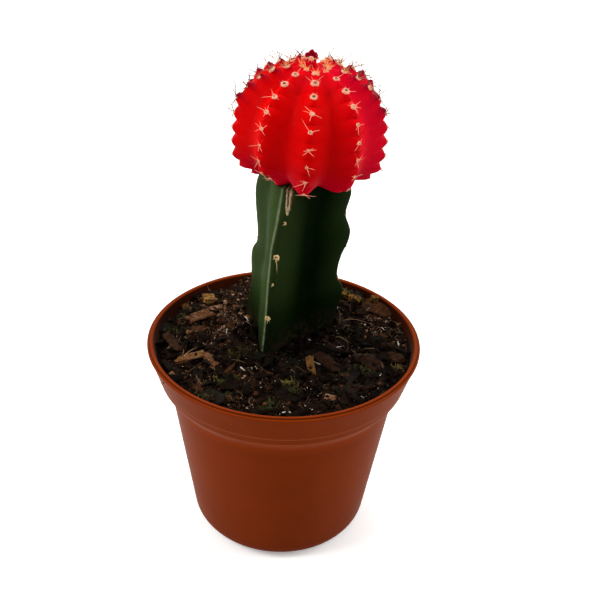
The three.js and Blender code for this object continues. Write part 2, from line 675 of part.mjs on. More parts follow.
seededRandom(SEED);
const moonCactus = new THREE.Group();
moonCactus.add(makePot(), makeSoil(), makeRootstock(), makeScion());

export default moonCactus;
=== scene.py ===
"""Looks of a potted moon cactus: a red ribbed scion on a green three-ribbed rootstock, in a plastic pot.

Everything is in metres, +Z up, with the front towards -Y. Azimuths are in degrees from -Y towards +X.
"""

import itertools
import math

import bpy
import numpy as np
from bpy.props import FloatProperty, FloatVectorProperty, IntProperty, PointerProperty
from mathutils import Matrix, Vector


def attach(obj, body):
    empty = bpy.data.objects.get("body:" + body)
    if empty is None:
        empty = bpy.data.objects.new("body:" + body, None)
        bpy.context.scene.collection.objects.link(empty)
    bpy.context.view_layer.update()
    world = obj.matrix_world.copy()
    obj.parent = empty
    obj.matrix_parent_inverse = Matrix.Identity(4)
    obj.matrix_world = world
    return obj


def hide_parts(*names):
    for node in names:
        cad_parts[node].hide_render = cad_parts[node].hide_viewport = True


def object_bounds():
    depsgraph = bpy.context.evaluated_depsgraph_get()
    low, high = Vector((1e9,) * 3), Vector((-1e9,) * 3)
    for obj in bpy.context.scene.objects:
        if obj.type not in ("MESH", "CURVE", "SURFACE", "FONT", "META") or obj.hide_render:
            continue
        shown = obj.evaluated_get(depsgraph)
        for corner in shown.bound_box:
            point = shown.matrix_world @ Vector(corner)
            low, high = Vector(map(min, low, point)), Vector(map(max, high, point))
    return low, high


bl_info = {
    "name": "Potted moon cactus",
    "version": (1, 0, 0),
    "blender": (4, 5, 0),
    "location": "View3D > Sidebar > Moon cactus",
    "description": "Builds the surfaces and finishes of a grafted cactus in its nursery pot",
    "category": "Add Mesh",
}

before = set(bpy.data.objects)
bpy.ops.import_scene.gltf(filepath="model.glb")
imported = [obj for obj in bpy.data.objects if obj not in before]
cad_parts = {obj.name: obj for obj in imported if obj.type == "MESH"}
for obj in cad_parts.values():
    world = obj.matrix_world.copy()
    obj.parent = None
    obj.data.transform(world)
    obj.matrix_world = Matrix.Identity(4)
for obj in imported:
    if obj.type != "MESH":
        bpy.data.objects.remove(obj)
CAD_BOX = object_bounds()
MM = 0.001
SEED = 4217

# Pot
POT_HEIGHT = 68 * MM
RIM_RADIUS = 42.5 * MM
LIP_INNER_RADIUS = 40.6 * MM
COLLAR_CREASE_RADIUS = 39.7 * MM
COLLAR_CREASE_Z = 58.6 * MM
BODY_TOP_RADIUS = 36.4 * MM
BODY_TOP_Z = 55.7 * MM
BODY_FOOT_RADIUS = 29 * MM
FOOT_FILLET = 6.4 * MM
WALL = 1.1 * MM
LEDGE_Z = 57.2 * MM
LEDGE_HALF_HEIGHT = 0.8 * MM
FLOOR_THICKNESS = 1.3 * MM
FOOT_RING_INNER_RADIUS = 15.4 * MM
BASE_PANEL_RADIUS = 14.4 * MM
BASE_PANEL_RISE = 1.5 * MM
DRAIN_RADIUS = 2.5 * MM
DRAIN_CENTRE_RADIUS = 3 * MM
DRAIN_CIRCLE_RADIUS = 9.6 * MM
DRAIN_COUNT = 6
CHANNEL_WIDTH = 5 * MM
CHANNEL_DEPTH = 0.8 * MM
CHANNEL_COUNT = 4
DRAIN_SIDES = 48
POLE_RADIUS = 0.2 * MM
# Corners of the pot's outside, up from its body and over the lip: radius, height and rounding in millimetres
POT_OUTSIDE = [
    (30.2, 14, 0), (35.9, 52.3, 1.2), (38.75, 55.8, 0.3), (39.0, 56.35, 0.25), (39.7, 58.6, 0.45),
    (42.1, 66.75, 0.2), (42.5, 66.95, 0.15), (42.5, 67.45, 0.2), (41.95, 67.72, 0.2), (41.8, 68, 0.2),
    (40.7, 68, 0.45),
]

# Marks on the pot: the cone between its inner and its outer wall, the painted highlight lines along the
# collar's edges with their heights and strengths, the groove in its lip, and how a line fades from its
# middle
MID_WALL_RADIUS = 21.9 * MM
MID_WALL_SLOPE = 0.2945
COLLAR_HIGHLIGHT_LINES = [(56.0 * MM, 0.22), (58.6 * MM, 0.3)]
GROOVE_RADIUS = 41.88 * MM
LINE_FADE = (0.3 * MM, 0.1 * MM)

# Soil
GAP = 0.3 * MM
SOIL_WALL_Z = 63.9 * MM
SOIL_REAR_RISE = 1.0 * MM
SOIL_MOUND_RISE = 1.6 * MM
SOIL_MOUND_RADIUS = 28 * MM

# Heaps of the mix against the wall and the stem's left face: x, y, reach and height in millimetres
HEAPS = [
    (24, 29, 8, 0.8), (-11, 34.5, 7, 1.3), (-11.4, 0.6, 5.2, 7.2), (-8.4, -1.5, 3.6, 1.6), (-36, -2, 9, 0.8),
    (37, 4, 10, 0.8),
]
# Patches where the mix is drier, or darker below 0: x, y and reach in millimetres, and by how much. The
# one at 16, -2 is a painted shadow of the stem on the mix to its front right
DRY_AND_SHADOW_PATCHES = [
    (-20, 24, 9, 0.27), (-18, 13, 8, 0.19), (-30, 8, 9, 0.08), (-11, 33, 7, 0.2), (29, 13, 8, 0.22),
    (37, -1, 6, 0.17), (-18, 1, 7, 0.12), (-8, -17, 5, 0.18), (-10, -31, 6, 0.15), (16, -2, 12, -0.6),
    (-6, -4, 8, -0.2), (4, -30, 8, -0.08),
]
DRYNESS_ELSEWHERE = -0.04
# Bark chips and lumps that can be told apart: x, y, length, width, thickness in millimetres, turn, pitch and
# roll in degrees, lift in millimetres, tone, from 0 for near black to 1 for pale tan, and share of lichen
NAMED_CHIPS = [
    (-27.6, 13.4, 9.4, 3.7, 1.1, 38, 4, 14, 1.5, 0.78, 0),
    (-27.5, 7.2, 4.8, 2.6, 0.9, 10, 6, 8, 0.5, 0.58, 0),
    (-28.8, -8.8, 9.2, 3.0, 1.1, 24, -4, 8, 0.8, 0.76, 0.3),
    (-21.7, -10.8, 8.4, 2.8, 1.1, -57, 8, 8, 0.9, 0.77, 0),
    (-34.6, -2.6, 10.2, 3.4, 1.2, -55, 4, -14, 0.7, 0.46, 0),
    (31.2, 22.0, 11.5, 4.6, 1.2, -38, 4, 24, 0.5, 0.6, 0),
    (13.9, -9.4, 10.2, 5.6, 1.1, -40, 8, -12, 0.9, 0.36, 0),
    (8.4, -12.3, 6.8, 2.5, 1.4, -80, 32, 6, 1.3, 0.7, 0.3),
    (14.7, -27.2, 4.6, 3.0, 1.0, -12, 8, -8, 0.7, 0.8, 0),
    (19.4, -26.0, 11.0, 4.2, 1.0, 70, -8, 10, 0.8, 0.3, 0),
    (27.1, -8.8, 7.4, 4.4, 1.0, -46, 8, 8, 0.8, 0.36, 0),
    (35.0, -6.5, 4.8, 4.0, 1.8, 20, 12, 8, 0.8, 0.42, 0),
    (-16.3, 4.8, 4.6, 3.0, 1.0, -30, 20, 10, 1.0, 0.48, 0.1),
    (-25.4, 23.6, 4.6, 3.6, 2.4, 30, 10, 18, 1.4, 0.8, 0.95),
    (-11.7, 4.2, 1.6, 2.6, 1.6, 10, 30, 0, 1.2, 0.76, 0.8),
    (-24.0, -23.2, 5.2, 3.2, 1.0, -26, 6, 10, 0.4, 0.5, 0),
    (22.0, -6.2, 5.0, 2.4, 1.0, -35, -8, 12, 0.5, 0.3, 0),
    (-16.8, -7.6, 6.0, 4.4, 1.0, 30, 10, -6, 0.5, 0.2, 0),
    (-29.5, 26.4, 4.4, 3.2, 1.6, 25, 10, 6, 0.5, 0.1, 0),
    (-32.4, -18.5, 3.4, 2.0, 0.9, -40, 5, 12, 0.4, 0.8, 0.2),
    (35.6, -12.3, 4.6, 3.0, 1.0, 70, -6, 8, 0.4, 0.4, 0),
    (23.3, 27.0, 4.6, 2.8, 1.6, -30, 5, 10, 0.5, 0.6, 0.6),
    (20.4, 29.4, 4.2, 2.6, 1.6, -12, 8, -8, 0.4, 0.56, 0.6),
    (-32.5, 19.1, 5.0, 2.6, 1.0, -60, 8, 10, 0.4, 0.5, 0.2),
    (-15.5, -21.7, 6.2, 3.6, 1.0, 12, 7, 9, 0.4, 0.16, 0),
    (-6.3, -16.1, 5.4, 3.0, 1.0, 40, 6, -9, 0.4, 0.2, 0),
    (1.5, -27.5, 6.6, 3.4, 1.0, -18, 8, 7, 0.4, 0.14, 0),
    (9.5, -32.0, 5.8, 2.8, 1.0, 8, -7, 10, 0.4, 0.26, 0),
    (33.0, 6.5, 5.0, 2.8, 1.0, 50, 8, 9, 0.4, 0.54, 0),
    (30.0, 25.4, 2.6, 2.4, 2.0, 20, 10, 0, 2.0, 0.56, 0.5),
]
# Places in millimetres of pale bits, which stand for both mineral grit and painted glints of the wet mix,
# and of moss
PALE_BITS = [
    (-18.3, 4.1), (-16.8, 0.7), (-11.4, 1.1), (-12.2, -13.1), (-4.3, -13.9), (29.2, 7.8), (22.7, -5.8),
    (17.3, 0.5), (8.4, 1.6), (10, -10.5), (29.5, -14.2), (33, 13.1), (21.8, 23.1), (26.3, 13.9), (28.1, 11),
    (0.3, -33.9), (-10, -31.1), (2.6, -34.7), (6.9, -29.8), (20.8, -27.6), (23.2, -27), (34.8, -2),
    (36.2, 1.5), (32.2, 9.4), (-11.6, 0.5), (-9.9, 6.2),
]
MOSS_PLACES = [
    (-4.7, -29.4), (1.3, -19.8), (2.5, -23.7), (-18.9, -20.3), (-16.6, -26.7), (-13.4, -7.4), (-16.2, -16.6),
    (19.6, -14.7), (26.3, -13.3), (-22.3, -27.9), (22, 11.8), (-31.7, 14.8), (-35.2, 5.4), (34.4, -10.8),
    (23.7, -11.3), (21, 31.2), (24.6, 28.4), (28, 26.2), (-4.3, -31.6),
]
# Root strands: place in millimetres, direction, bend, length and radius in millimetres, and tone
STRANDS = [
    (17.6, 9.5, 67.0, 0.1, -0.2, 1.1, -0.15, 0.2, -0.2, 6.5, 0.3, 0.55),
    (18.6, 7.6, 66.2, 0.35, -0.1, 0.9, 0.1, 0.1, -0.75, 5.5, 0.26, 0.42),
    (16.4, 2.4, 66.4, 0.5, -0.4, 0.55, 0.4, 0.1, -0.9, 4.5, 0.22, 0.35),
    (19.0, 12.0, 66.6, 0.9, 0.25, 0.55, 0.9, -0.1, -0.9, 6.8, 0.11, 0.8),
    (-30.4, -9.2, 65.2, 0.25, 1.0, 0.12, 0.5, 0.1, -0.1, 5.0, 0.14, 0.95),
    (-31.2, -8.0, 65.0, 0.4, 0.9, 0.1, -0.4, 0.1, -0.1, 3.6, 0.12, 0.85),
]

# Rootstock
STEM_Y = 9 * MM
STEM_TOP_X = 2.4 * MM
STEM_LEAN_X = 2.1 * MM
STEM_LEAN_Z = 64 * MM
STEM_STRAIGHT_Z = 100 * MM
GRAFT_Z = 119.1 * MM
FOOT_Z = 66 * MM
BURIED_Z = 40 * MM
BURIED_TAPER = 7 * MM
BURIED_SHARE = 0.45
RIGHT_AZIMUTH = 108
LEFT_AZIMUTH = -132
CREST_ROUNDING = math.radians(6)
FACE_HOLLOW = 1.3 * MM
SHOULDER_RADIUS = 12.6 * MM
SHOULDER_SLOPE = 0.56
SHOULDER_SHIFT = 1.3 * MM
SHOULDER_ROUNDING = 0.8 * MM
# The faces are numbered from the left one, and the third is the rear one
LEFT_FACE = 0
RIGHT_FACE = 1

# Pairs of height in millimetres with azimuth in degrees, and of height with radius, both in millimetres
FRONT_AZIMUTHS = [(40, -22), (65, -23.3), (80, -26), (95, -24), (103, -21), (111, -17.3), (119.5, -11)]
FRONT_RADII = [(40, 16.8), (66, 17.2), (78, 16.2), (90, 16.6), (99, 16.1), (108, 16.6), (120, 16.6)]
RIGHT_RADII = [
    (40, 16), (66, 16.2), (72, 16.9), (76.5, 17.5), (79, 17), (81.5, 15.2), (85, 14.8), (90, 15.7),
    (95, 17.5), (98.5, 17.8), (101.5, 16.8), (104, 15.9), (107, 16.3), (111, 17.4), (120, 18),
]
LEFT_RADII = [
    (40, 17.6), (66, 17.7), (70, 17.1), (75, 16.6), (81, 17), (86, 17.5), (89, 16.9), (91, 15.7),
    (93, 15.2), (97, 15.4), (103, 16.2), (109, 16.6), (120, 16.6),
]

# Areoles of the rootstock: crest, height in millimetres, degrees beside the crest, radius in millimetres
STEM_AREOLES = [
    (1, 110.2, 5, 0.66), (1, 98.8, 2.6, 1.0), (1, 89.8, 2.4, 0.5), (1, 77.7, 0.8, 0.88),
    (2, 104.6, 0, 0.8), (2, 93, 0, 0.6), (2, 82.2, 0, 0.8), (2, 70.5, 0, 0.6),
    (0, 105, 0, 0.6), (0, 92.6, 0, 0.8), (0, 82, 0, 0.6), (0, 73, 0, 0.6),
]
# Spines of the rootstock: areole, degrees from straight down, length in millimetres
STEM_SPINES = [
    (0, -35, 0.9), (0, 30, 0.8), (1, 14, 4.7), (1, -8, 1.9), (1, -58, 1.4), (1, 62, 1.5), (1, 40, 1.3),
    (2, -20, 1.1), (2, 25, 0.8), (3, -30, 1.5), (3, 12, 2.0), (3, 55, 1.3), (3, 165, 1.5), (3, -75, 1.1),
    (4, -50, 1.6), (4, 10, 2.0), (4, 60, 1.4), (5, -20, 1.2), (5, 40, 1.0), (6, -45, 1.5), (6, 15, 2.0),
    (6, 70, 1.4), (7, 0, 1.1), (7, 50, 0.9), (8, -40, 1.2), (8, 20, 1.4), (9, -50, 1.6), (9, 5, 2.1),
    (9, 55, 1.5), (10, -15, 1.1), (10, 45, 1.0), (11, 0, 1.3), (11, -60, 1.0),
]
# Corky scar at the front crest: height in millimetres, then its left and right edges as shares of a face,
# counted from the crest and below 0 on the left face
SCAR_EDGES = np.array([
    (112.3, 0.050, 0.050), (113.0, 0.041, 0.059), (114.5, 0.021, 0.066), (116.0, 0.002, 0.068),
    (117.5, -0.013, 0.066), (119.1, -0.029, 0.060),
])
# Pale line of the front crest: height in millimetres and share of the way along the left face
CREST_LINE = [
    (40, 0.988), (70, 0.987), (80, 0.985), (90, 0.979), (95, 0.968), (100, 0.956), (104, 0.967),
    (107, 0.977), (110, 0.981), (113, 0.968), (116, 0.948), (119, 0.926), (120, 0.918),
]

# Scion
SCION_CENTRE = np.array([5.5, 9, 133.4]) * MM
SCION_TILT_X = 3.2
SCION_TILT_Y = -1.6
SCION_RADIUS = 22.3 * MM
UPPER_HEIGHT = 18.6 * MM
LOWER_HEIGHT = 17.9 * MM
UPPER_FULLNESS = 2.37
LOWER_FULLNESS = 2.35
# Each rib from the front one towards +X: azimuth in degrees, run down the crest from the top to its first
# areole and from each areole to the next, both in millimetres, and share of the full notch depth
RIBS = np.array([
    (-2.0, 6.32, 4.90, 0.4),
    (35.5, 4.45, 4.95, 0.6),
    (77.2, 3.70, 4.23, 1.05),
    (117.4, 3.0, 4.5, 1.0),
    (158.0, 5.3, 4.5, 1.0),
    (202.0, 4.4, 4.5, 1.0),
    (240.5, 3.2, 4.4, 1.0),
    (281.1, 4.21, 4.11, 1.0),
    (321.0, 4.61, 4.66, 0.6),
])
RIB_COUNT = len(RIBS)
# Swellings of the globe: rib, polar angle, width in degrees and height in millimetres
SWELLINGS = [
    (8.7, 131, 14, 1.3), (8.34, 130, 14, -0.9),
    (0, 118, 18, 0.3), (1, 118, 18, 0.8), (2, 118, 18, 1.2), (7, 118, 18, 1.3), (7, 66, 11, 0.7),
    (8, 134, 15, -1.7), (5, 16, 9, -0.5),
]
SWELLING_WIDTH = 0.42
VALLEY_DEPTH = 3.3 * MM
LOW_VALLEY_DEPTH = 3.4 * MM
VALLEY_ROUNDING = 1.8
CREST_SOFTNESS = 0.2
TOOTH_DEPTH = 2.2 * MM
TOOTH_LEAD = 0.1
TOOTH_SHARPNESS = 0.85
TOOTH_FADE = 3.6
KNOB_HEIGHT = 1.75 * MM
TOP_DIP = 0.9 * MM
TOP_DIP_WIDTH = 13
AREOLES_PER_RIB = 13
BUD_X = -1.6 * MM
BUD_Y = 0.6 * MM
# Top bud in millimetres: its height, its radius at falls from its tip, and the middle and sizes of its lobes
BUD_HEIGHT = 5.2
BUD_RADII = [
    (0.04, 0.2), (0.4, 0.6), (1.0, 0.85), (1.4, 0.95), (1.75, 1.1), (2.0, 1.1), (2.2, 0.95), (2.6, 1.15),
    (3.1, 1.45), (4.0, 1.55), (5.4, 1.75),
]
BUD_LOBES = [
    (-1.1, -0.2, 3.35, 1.5, 1.4, 1.9), (1.05, -0.3, 3.5, 1.4, 1.4, 1.9), (0.2, 1.1, 3.5, 1.6, 1.5, 2.1),
]
# Radius of a felt pad in millimetres at polar angles
PAD_RADII = [(5, 0.7), (16, 1.0), (24, 1.2), (40, 1.06), (56, 0.68), (90, 0.48), (140, 0.46)]
# Spines of an areole's star: degrees from straight up the rib, share of the full length, and chance
SPINE_STAR = [
    (-112, 1.0, 0.8), (-70, 0.8, 0.6), (66, 0.85, 0.62), (110, 1.0, 0.76), (172, 0.75, 0.4), (14, 0.5, 0.3),
    (-150, 0.6, 0.22), (-30, 0.7, 0.2), (38, 0.7, 0.2),
]

# Camera at the photograph's viewpoint: distance and elevation from the rim's centre, then pan, tilt and roll
CAMERA_DISTANCE = 7 * RIM_RADIUS
CAMERA_ELEVATION = math.radians(33.14)
FOCAL_PIXELS = 949.3
FRAME_PIXELS = 600
AIM_X = -14.65
AIM_Y = 36.01
CAMERA_ROLL = -1.84
SENSOR_WIDTH = 36

# Stage: half the floor's width, and each lamp's name, place, width and power
FLOOR_HALF = 3.0
LAMPS = [
    ("key_left", (-0.75, -0.25, 0.8), 0.5, 7.0),
    ("fill_right", (0.75, -0.05, 0.6), 0.6, 4.1),
    ("top", (0.05, 0.25, 1.1), 0.7, 3.0),
]


def colour_prop(name, description, default):
    return FloatVectorProperty(
        name=name, description=description, default=default, subtype="COLOR", size=3, min=0, max=1
    )


def length_prop(name, description, default):
    return FloatProperty(name=name, description=description, default=default, unit="LENGTH", min=0)


def count_prop(name, description, default):
    return IntProperty(name=name, description=description, default=default, min=0)


class PotSettings(bpy.types.PropertyGroup):
    """Plastic of the pot."""

    colour: colour_prop("Plastic", "Colour of the moulded plastic", (0.187, 0.0240, 0.0014))
    bloom: colour_prop("Bloom", "Colour of the scuffs and the dry water marks", (0.25, 0.065, 0.014))
    roughness: FloatProperty(
        name="Roughness", description="How satin the plastic is", default=0.36, subtype="FACTOR",
        min=0, max=1,
    )


class SoilSettings(bpy.types.PropertyGroup):
    """Potting mix."""

    colour: colour_prop("Mix", "Colour of the moist mix", (0.0070, 0.0036, 0.0021))
    bark: colour_prop("Bark", "Colour of the freshest bark", (0.22, 0.086, 0.033))
    relief: length_prop("Relief", "Height of the lumps", 1.25 * MM)
    crumbs: count_prop("Crumbs", "Number of loose crumbs", 4000)
    chips: count_prop("Chips", "Number of bark chips placed at random", 340)
    fibres: count_prop("Fibres", "Number of loose fibres", 120)


class StemSettings(bpy.types.PropertyGroup):
    """Rootstock."""

    skin: colour_prop("Skin", "Colour of the rootstock's faces", (0.033, 0.058, 0.0165))
    crest: colour_prop("Crest", "Colour of the worn crests", (0.20, 0.235, 0.13))
    felt: colour_prop("Felt", "Colour of the rootstock's felt and spines", (0.80, 0.57, 0.27))
    cork: colour_prop("Cork", "Colour of the corky scar", (0.19, 0.085, 0.035))


class ScionSettings(bpy.types.PropertyGroup):
    """Scion."""

    skin: colour_prop("Skin", "Colour of the crests", (0.66, 0.0004, 0.0007))
    # The valley colour is painted shade, darkening the valleys and the underside; the blush is also painted
    # under the globe as part of that shade
    valley: colour_prop("Valley", "Colour down in the valleys", (0.50, 0.0002, 0.0006))
    blush: colour_prop("Blush", "Crimson of the younger flesh", (0.60, 0.0, 0.021))
    wool: colour_prop("Wool", "Colour of the areoles' felt", (1.0, 0.50, 0.34))
    spine: colour_prop("Spines", "Colour of the spines", (1.0, 0.42, 0.28))
    young_spine: colour_prop("Young spines", "Colour of the young spines round the bud", (1.0, 0.53, 0.19))
    spine_length: length_prop("Spine length", "Length of a middle spine", 3.9 * MM)


class StageSettings(bpy.types.PropertyGroup):
    """Floor and light."""

    floor: colour_prop("Floor", "Colour of the floor", (0.70, 0.68, 0.64))
    world: FloatProperty(
        name="Surroundings", description="Strength of the bright surroundings", default=1.12, min=0
    )


def smooth_step(low, high, x):
    """The share of x between two edges, eased by t squared times (3 - 2t)."""
    t = np.clip((x - low) / (high - low), 0, 1)
    return t * t * (3 - 2 * t)


def mix(a, b, share):
    return a + (b - a) * share


def unit(vectors):
    return vectors / np.maximum(np.linalg.norm(vectors, axis=-1, keepdims=True), 1e-12)


def outward(azimuth):
    """Level unit vectors: sine of the azimuth along X, minus its cosine along Y."""
    angle = np.radians(azimuth)
    return np.stack([np.sin(angle), -np.cos(angle), np.zeros_like(angle)], -1)


def hashed(cells, seed):
    """A repeatable value from -1 to 1 for each cell: the fraction of a large multiple of a sine."""
    weights = np.array([127.1, 311.7, 74.7])[: cells.shape[-1]]
    wave = np.sin(cells @ weights + seed) * 43758.5453
    return 2 * (wave - np.floor(wave)) - 1


def noise(points, size, seed=0):
    """Value noise: the hashed values at the corners of cells of this size, blended by eased shares."""
    scaled = points / size
    cell = np.floor(scaled)
    share = smooth_step(0, 1, scaled - cell)
    total = 0
    for corner in itertools.product((0, 1), repeat=points.shape[-1]):
        corner = np.array(corner)
        weight = np.prod(np.where(corner == 1, share, 1 - share), -1)
        total = total + weight * hashed(cell + corner, seed)
    return total


def rough_noise(points, size, octaves, seed=0):
    """Noise summed over octaves, each half the size and half the height of the one before."""
    return sum(noise(points, size / 2**k, seed + 7 * k) / 2**k for k in range(octaves))


def bells(x, y, table):
    """Sum of bells over the soil: each one's height times e to minus the square of distance over reach."""
    total = 0
    for middle_x, middle_y, reach, height in table:
        away = np.hypot(x - middle_x * MM, y - middle_y * MM) / (reach * MM)
        total = total + height * np.exp(-(away**2))
    return total


def curve(pairs, at):
    """A smooth curve through given pairs, whose places are in millimetres: cubic pieces whose slope at a
    point joins its two neighbours. The place asked for is in metres."""
    x, y = np.array(pairs, float).T
    slope = np.empty_like(y)
    slope[1:-1] = (y[2:] - y[:-2]) / (x[2:] - x[:-2])
    slope[0] = (y[1] - y[0]) / (x[1] - x[0])
    slope[-1] = (y[-1] - y[-2]) / (x[-1] - x[-2])
    at = np.clip(at / MM, x[0], x[-1])
    i = np.clip(np.searchsorted(x, at, "right") - 1, 0, len(x) - 2)
    span = x[i + 1] - x[i]
    t = (at - x[i]) / span
    rise = y[i] * (1 + 2 * t) * (1 - t) ** 2 + y[i + 1] * t * t * (3 - 2 * t)
    return rise + span * (slope[i] * t * (1 - t) ** 2 - slope[i + 1] * t * t * (1 - t))


def closed_faces(rows, columns):
    """Faces of a grid whose last column joins its first, closed by two fans to poles that are numbered after
    the grid's own points. Rows run down and columns anticlockwise from above, so that the faces point
    outwards."""
    row, column = np.meshgrid(np.arange(rows - 1), np.arange(columns), indexing="ij")
    beside = (column + 1) % columns
    corners = [row * columns + column, (row + 1) * columns + column]
    corners += [(row + 1) * columns + beside, row * columns + beside]
    quads = np.stack(corners, -1).reshape(-1, 4)
    column, beside = column[0], beside[0]
    top = np.full(columns, rows * columns)
    last = (rows - 1) * columns
    upper = np.stack([top, column, beside], -1)
    lower = np.stack([top + 1, last + beside, last + column], -1)
    return [quads, upper, lower]


def repeated(faces, count, size):
    """The faces of a small shape of so many points, numbered again for each of its copies."""
    steps = size * np.arange(count)[:, None, None]
    return [(array[None] + steps).reshape(-1, array.shape[1]) for array in faces]


def flipped(faces):
    return [array[:, ::-1] for array in faces]


def mesh_object(name, points, faces, values=None):
    """A mesh object from whole arrays of points and faces, with named values stored on its points. A value
    given once, or once for each small shape, is repeated over the points."""
    points = np.ascontiguousarray(points, np.float32).reshape(-1, 3)
    corners = np.concatenate([array.ravel() for array in faces]).astype(np.int32)
    sizes = np.concatenate([np.full(len(array), array.shape[1]) for array in faces])
    mesh = bpy.data.meshes.new(name)
    mesh.vertices.add(len(points))
    mesh.vertices.foreach_set("co", points.ravel())
    mesh.loops.add(len(corners))
    mesh.loops.foreach_set("vertex_index", corners)
    mesh.polygons.add(len(sizes))
    mesh.polygons.foreach_set("loop_start", (np.cumsum(sizes) - sizes).astype(np.int32))
    mesh.update(calc_edges=True)
    mesh.validate()
    mesh.shade_smooth()
    for key, array in (values or {}).items():
        array = np.repeat(np.ravel(array), len(points) // np.size(array))
        attribute = mesh.attributes.new(key, "FLOAT", "POINT")
        attribute.data.foreach_set("value", array.astype(np.float32))
    made = bpy.data.objects.new(name, mesh)
    bpy.context.scene.collection.objects.link(made)
    return made


def finished(piece, material, replaced=None):
    """Gives a piece its material and the body it rides on, and hides the part it replaces."""
    piece.data.materials.clear()
    piece.data.materials.append(material)
    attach(piece, "root")
    if replaced:
        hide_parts(replaced)


def closed_object(name, rows, top, bottom, values):
    """A closed surface from a grid of points between two poles. A value's poles take its rows' means."""
    count, columns = rows.shape[:2]
    points = np.concatenate([rows.reshape(-1, 3), [top, bottom]])
    stored = {}
    for key, array in values.items():
        array = np.broadcast_to(array, (count, columns))
        stored[key] = np.concatenate([array.ravel(), [array[0].mean(), array[-1].mean()]])
    return mesh_object(name, points, closed_faces(count, columns), stored)


def frames(out, down):
    """Axes for each place: level, down and out, square to one another, as the columns of a matrix."""
    out = unit(out)
    level = unit(np.cross(down, out))
    return np.stack([level, np.cross(out, level), out], -1)


def carried(axes, vectors):
    """Vectors given along each place's own axes, turned into the scene's."""
    return np.einsum("nij,nj->ni", axes, vectors)


def threads(roots, directions, bends, lengths, radii, sides, steps, taper):
    """Curved tapering threads. A thread's middle line is its root plus its length times t along its
    direction plus t squared along its bend. The ring round it has its radius times (1 - t) to the taper.
    None stands above the solid's box. Comes back as points for each thread, faces and their shares t."""
    t = np.linspace(0, 1, steps + 1)[:-1]
    middle = roots[:, None] + lengths[:, None, None] * (
        t[:, None] * directions[:, None] + (t**2)[:, None] * bends[:, None]
    )
    tangent = unit(directions[:, None] + 2 * t[:, None] * bends[:, None])
    helper = np.where(np.abs(directions[:, 2:]) < 0.9, [[0, 0, 1]], [[1, 0, 0]])
    side = unit(np.cross(tangent, helper[:, None]))
    other = np.cross(tangent, side)
    angle = 2 * np.pi * np.arange(sides) / sides
    width = radii[:, None] * (1 - t) ** taper
    ring = np.cos(angle)[:, None] * side[:, :, None] + np.sin(angle)[:, None] * other[:, :, None]
    walls = middle[:, :, None] + width[:, :, None, None] * ring
    tips = roots + lengths[:, None] * (directions + bends)
    count = len(roots)
    points = np.concatenate([walls.reshape(count, -1, 3), roots[:, None], tips[:, None]], 1)
    points[..., 2] = np.minimum(points[..., 2], CAD_BOX[1][2] - 0.1 * MM)
    faces = flipped(repeated(closed_faces(steps, sides), count, steps * sides + 2))
    along = np.concatenate([np.repeat(t, sides), [0, 1]])
    return points, faces, np.tile(along, (count, 1))


def joined(parts):
    """Several sets of points and faces as one."""
    points, faces, start = [], [], 0
    for part_points, part_faces in parts:
        points.append(part_points.reshape(-1, 3))
        faces += [array + start for array in part_faces]
        start += len(points[-1])
    return np.concatenate(points), faces


def lumps(places, axes, sizes, columns, rows, seed, boxiness, unevenness, grain=(1, 1, 1)):
    """Small closed lumps. A lump's point is its half sizes times cos or sin of two angles, each raised to
    the boxiness, times 1 plus noise. Below 1 the boxiness squares the lump up. The grain draws the noise
    out along the first axis."""
    v = np.linspace(0, np.pi, rows + 2)[1:-1]
    u = 2 * np.pi * np.arange(columns) / columns

    def squared(wave):
        return np.sign(wave) * np.abs(wave) ** boxiness

    ring = squared(np.sin(v))[:, None]
    upright = squared(np.cos(v))[:, None] + 0 * u
    shape = np.stack([ring * squared(np.cos(u)), ring * squared(np.sin(u)), upright], -1)
    shape = np.concatenate([shape.reshape(-1, 3), [[0, 0, 1], [0, 0, -1]]])
    count = len(places)
    body = shape[None] * sizes[:, None] / 2
    stretched = body / np.mean(sizes, 1)[:, None, None] * grain
    offset = 40.0 * np.arange(count)[:, None, None]
    body = body * (1 + unevenness * rough_noise(stretched + offset, 0.45, 2, seed))[..., None]
    points = np.einsum("nij,nvj->nvi", axes, body) + places[:, None]
    return points, repeated(closed_faces(rows, columns), count, rows * columns + 2)


def node(tree, kind, links=None, **settings):
    """A node with its settings. Links maps an input to a value or to another node's output."""
    made = tree.nodes.new(kind)
    for key, value in settings.items():
        setattr(made, key, value)
    for key, value in (links or {}).items():
        if isinstance(value, bpy.types.NodeSocket):
            tree.links.new(value, made.inputs[key])
        else:
            made.inputs[key].default_value = value
    return made


def blended(tree, share, a, b):
    """The colour output of a mix of two colours, each a socket or three numbers."""
    a, b = (c if isinstance(c, bpy.types.NodeSocket) else (*c, 1) for c in (a, b))
    return node(tree, "ShaderNodeMix", {0: share, 6: a, 7: b}, data_type="RGBA").outputs[2]


def painted(tree, base, colour, mask, strength):
    """The base with a colour over it where the mask is, at a strength."""
    return blended(tree, times(tree, mask, strength), base, colour)


def tinted(colour, factor):
    return [factor * c for c in colour]


def reckoned(tree, operation, a, b=0.0):
    """The output of a sum on two numbers or sockets."""
    return node(tree, "ShaderNodeMath", {0: a, 1: b}, operation=operation).outputs[0]


def times(tree, a, b):
    return reckoned(tree, "MULTIPLY", a, b)


def plus(tree, a, b):
    return reckoned(tree, "ADD", a, b)


def ranged(tree, value, low, high, start=0.0, end=1.0, ease="SMOOTHSTEP"):
    """A value carried from one range to another, with eased ends unless told otherwise."""
    links = {"Value": value, "From Min": low, "From Max": high, "To Min": start, "To Max": end}
    return node(tree, "ShaderNodeMapRange", links, interpolation_type=ease).outputs["Result"]


def attribute(tree, name):
    return node(tree, "ShaderNodeAttribute", attribute_name=name).outputs["Fac"]


def object_place(tree, scale=None):
    """Object coordinates, times a scale for each axis where one is given."""
    place = node(tree, "ShaderNodeTexCoord").outputs["Object"]
    if scale is None:
        return place
    return node(tree, "ShaderNodeMapping", {"Vector": place, "Scale": scale}).outputs[0]


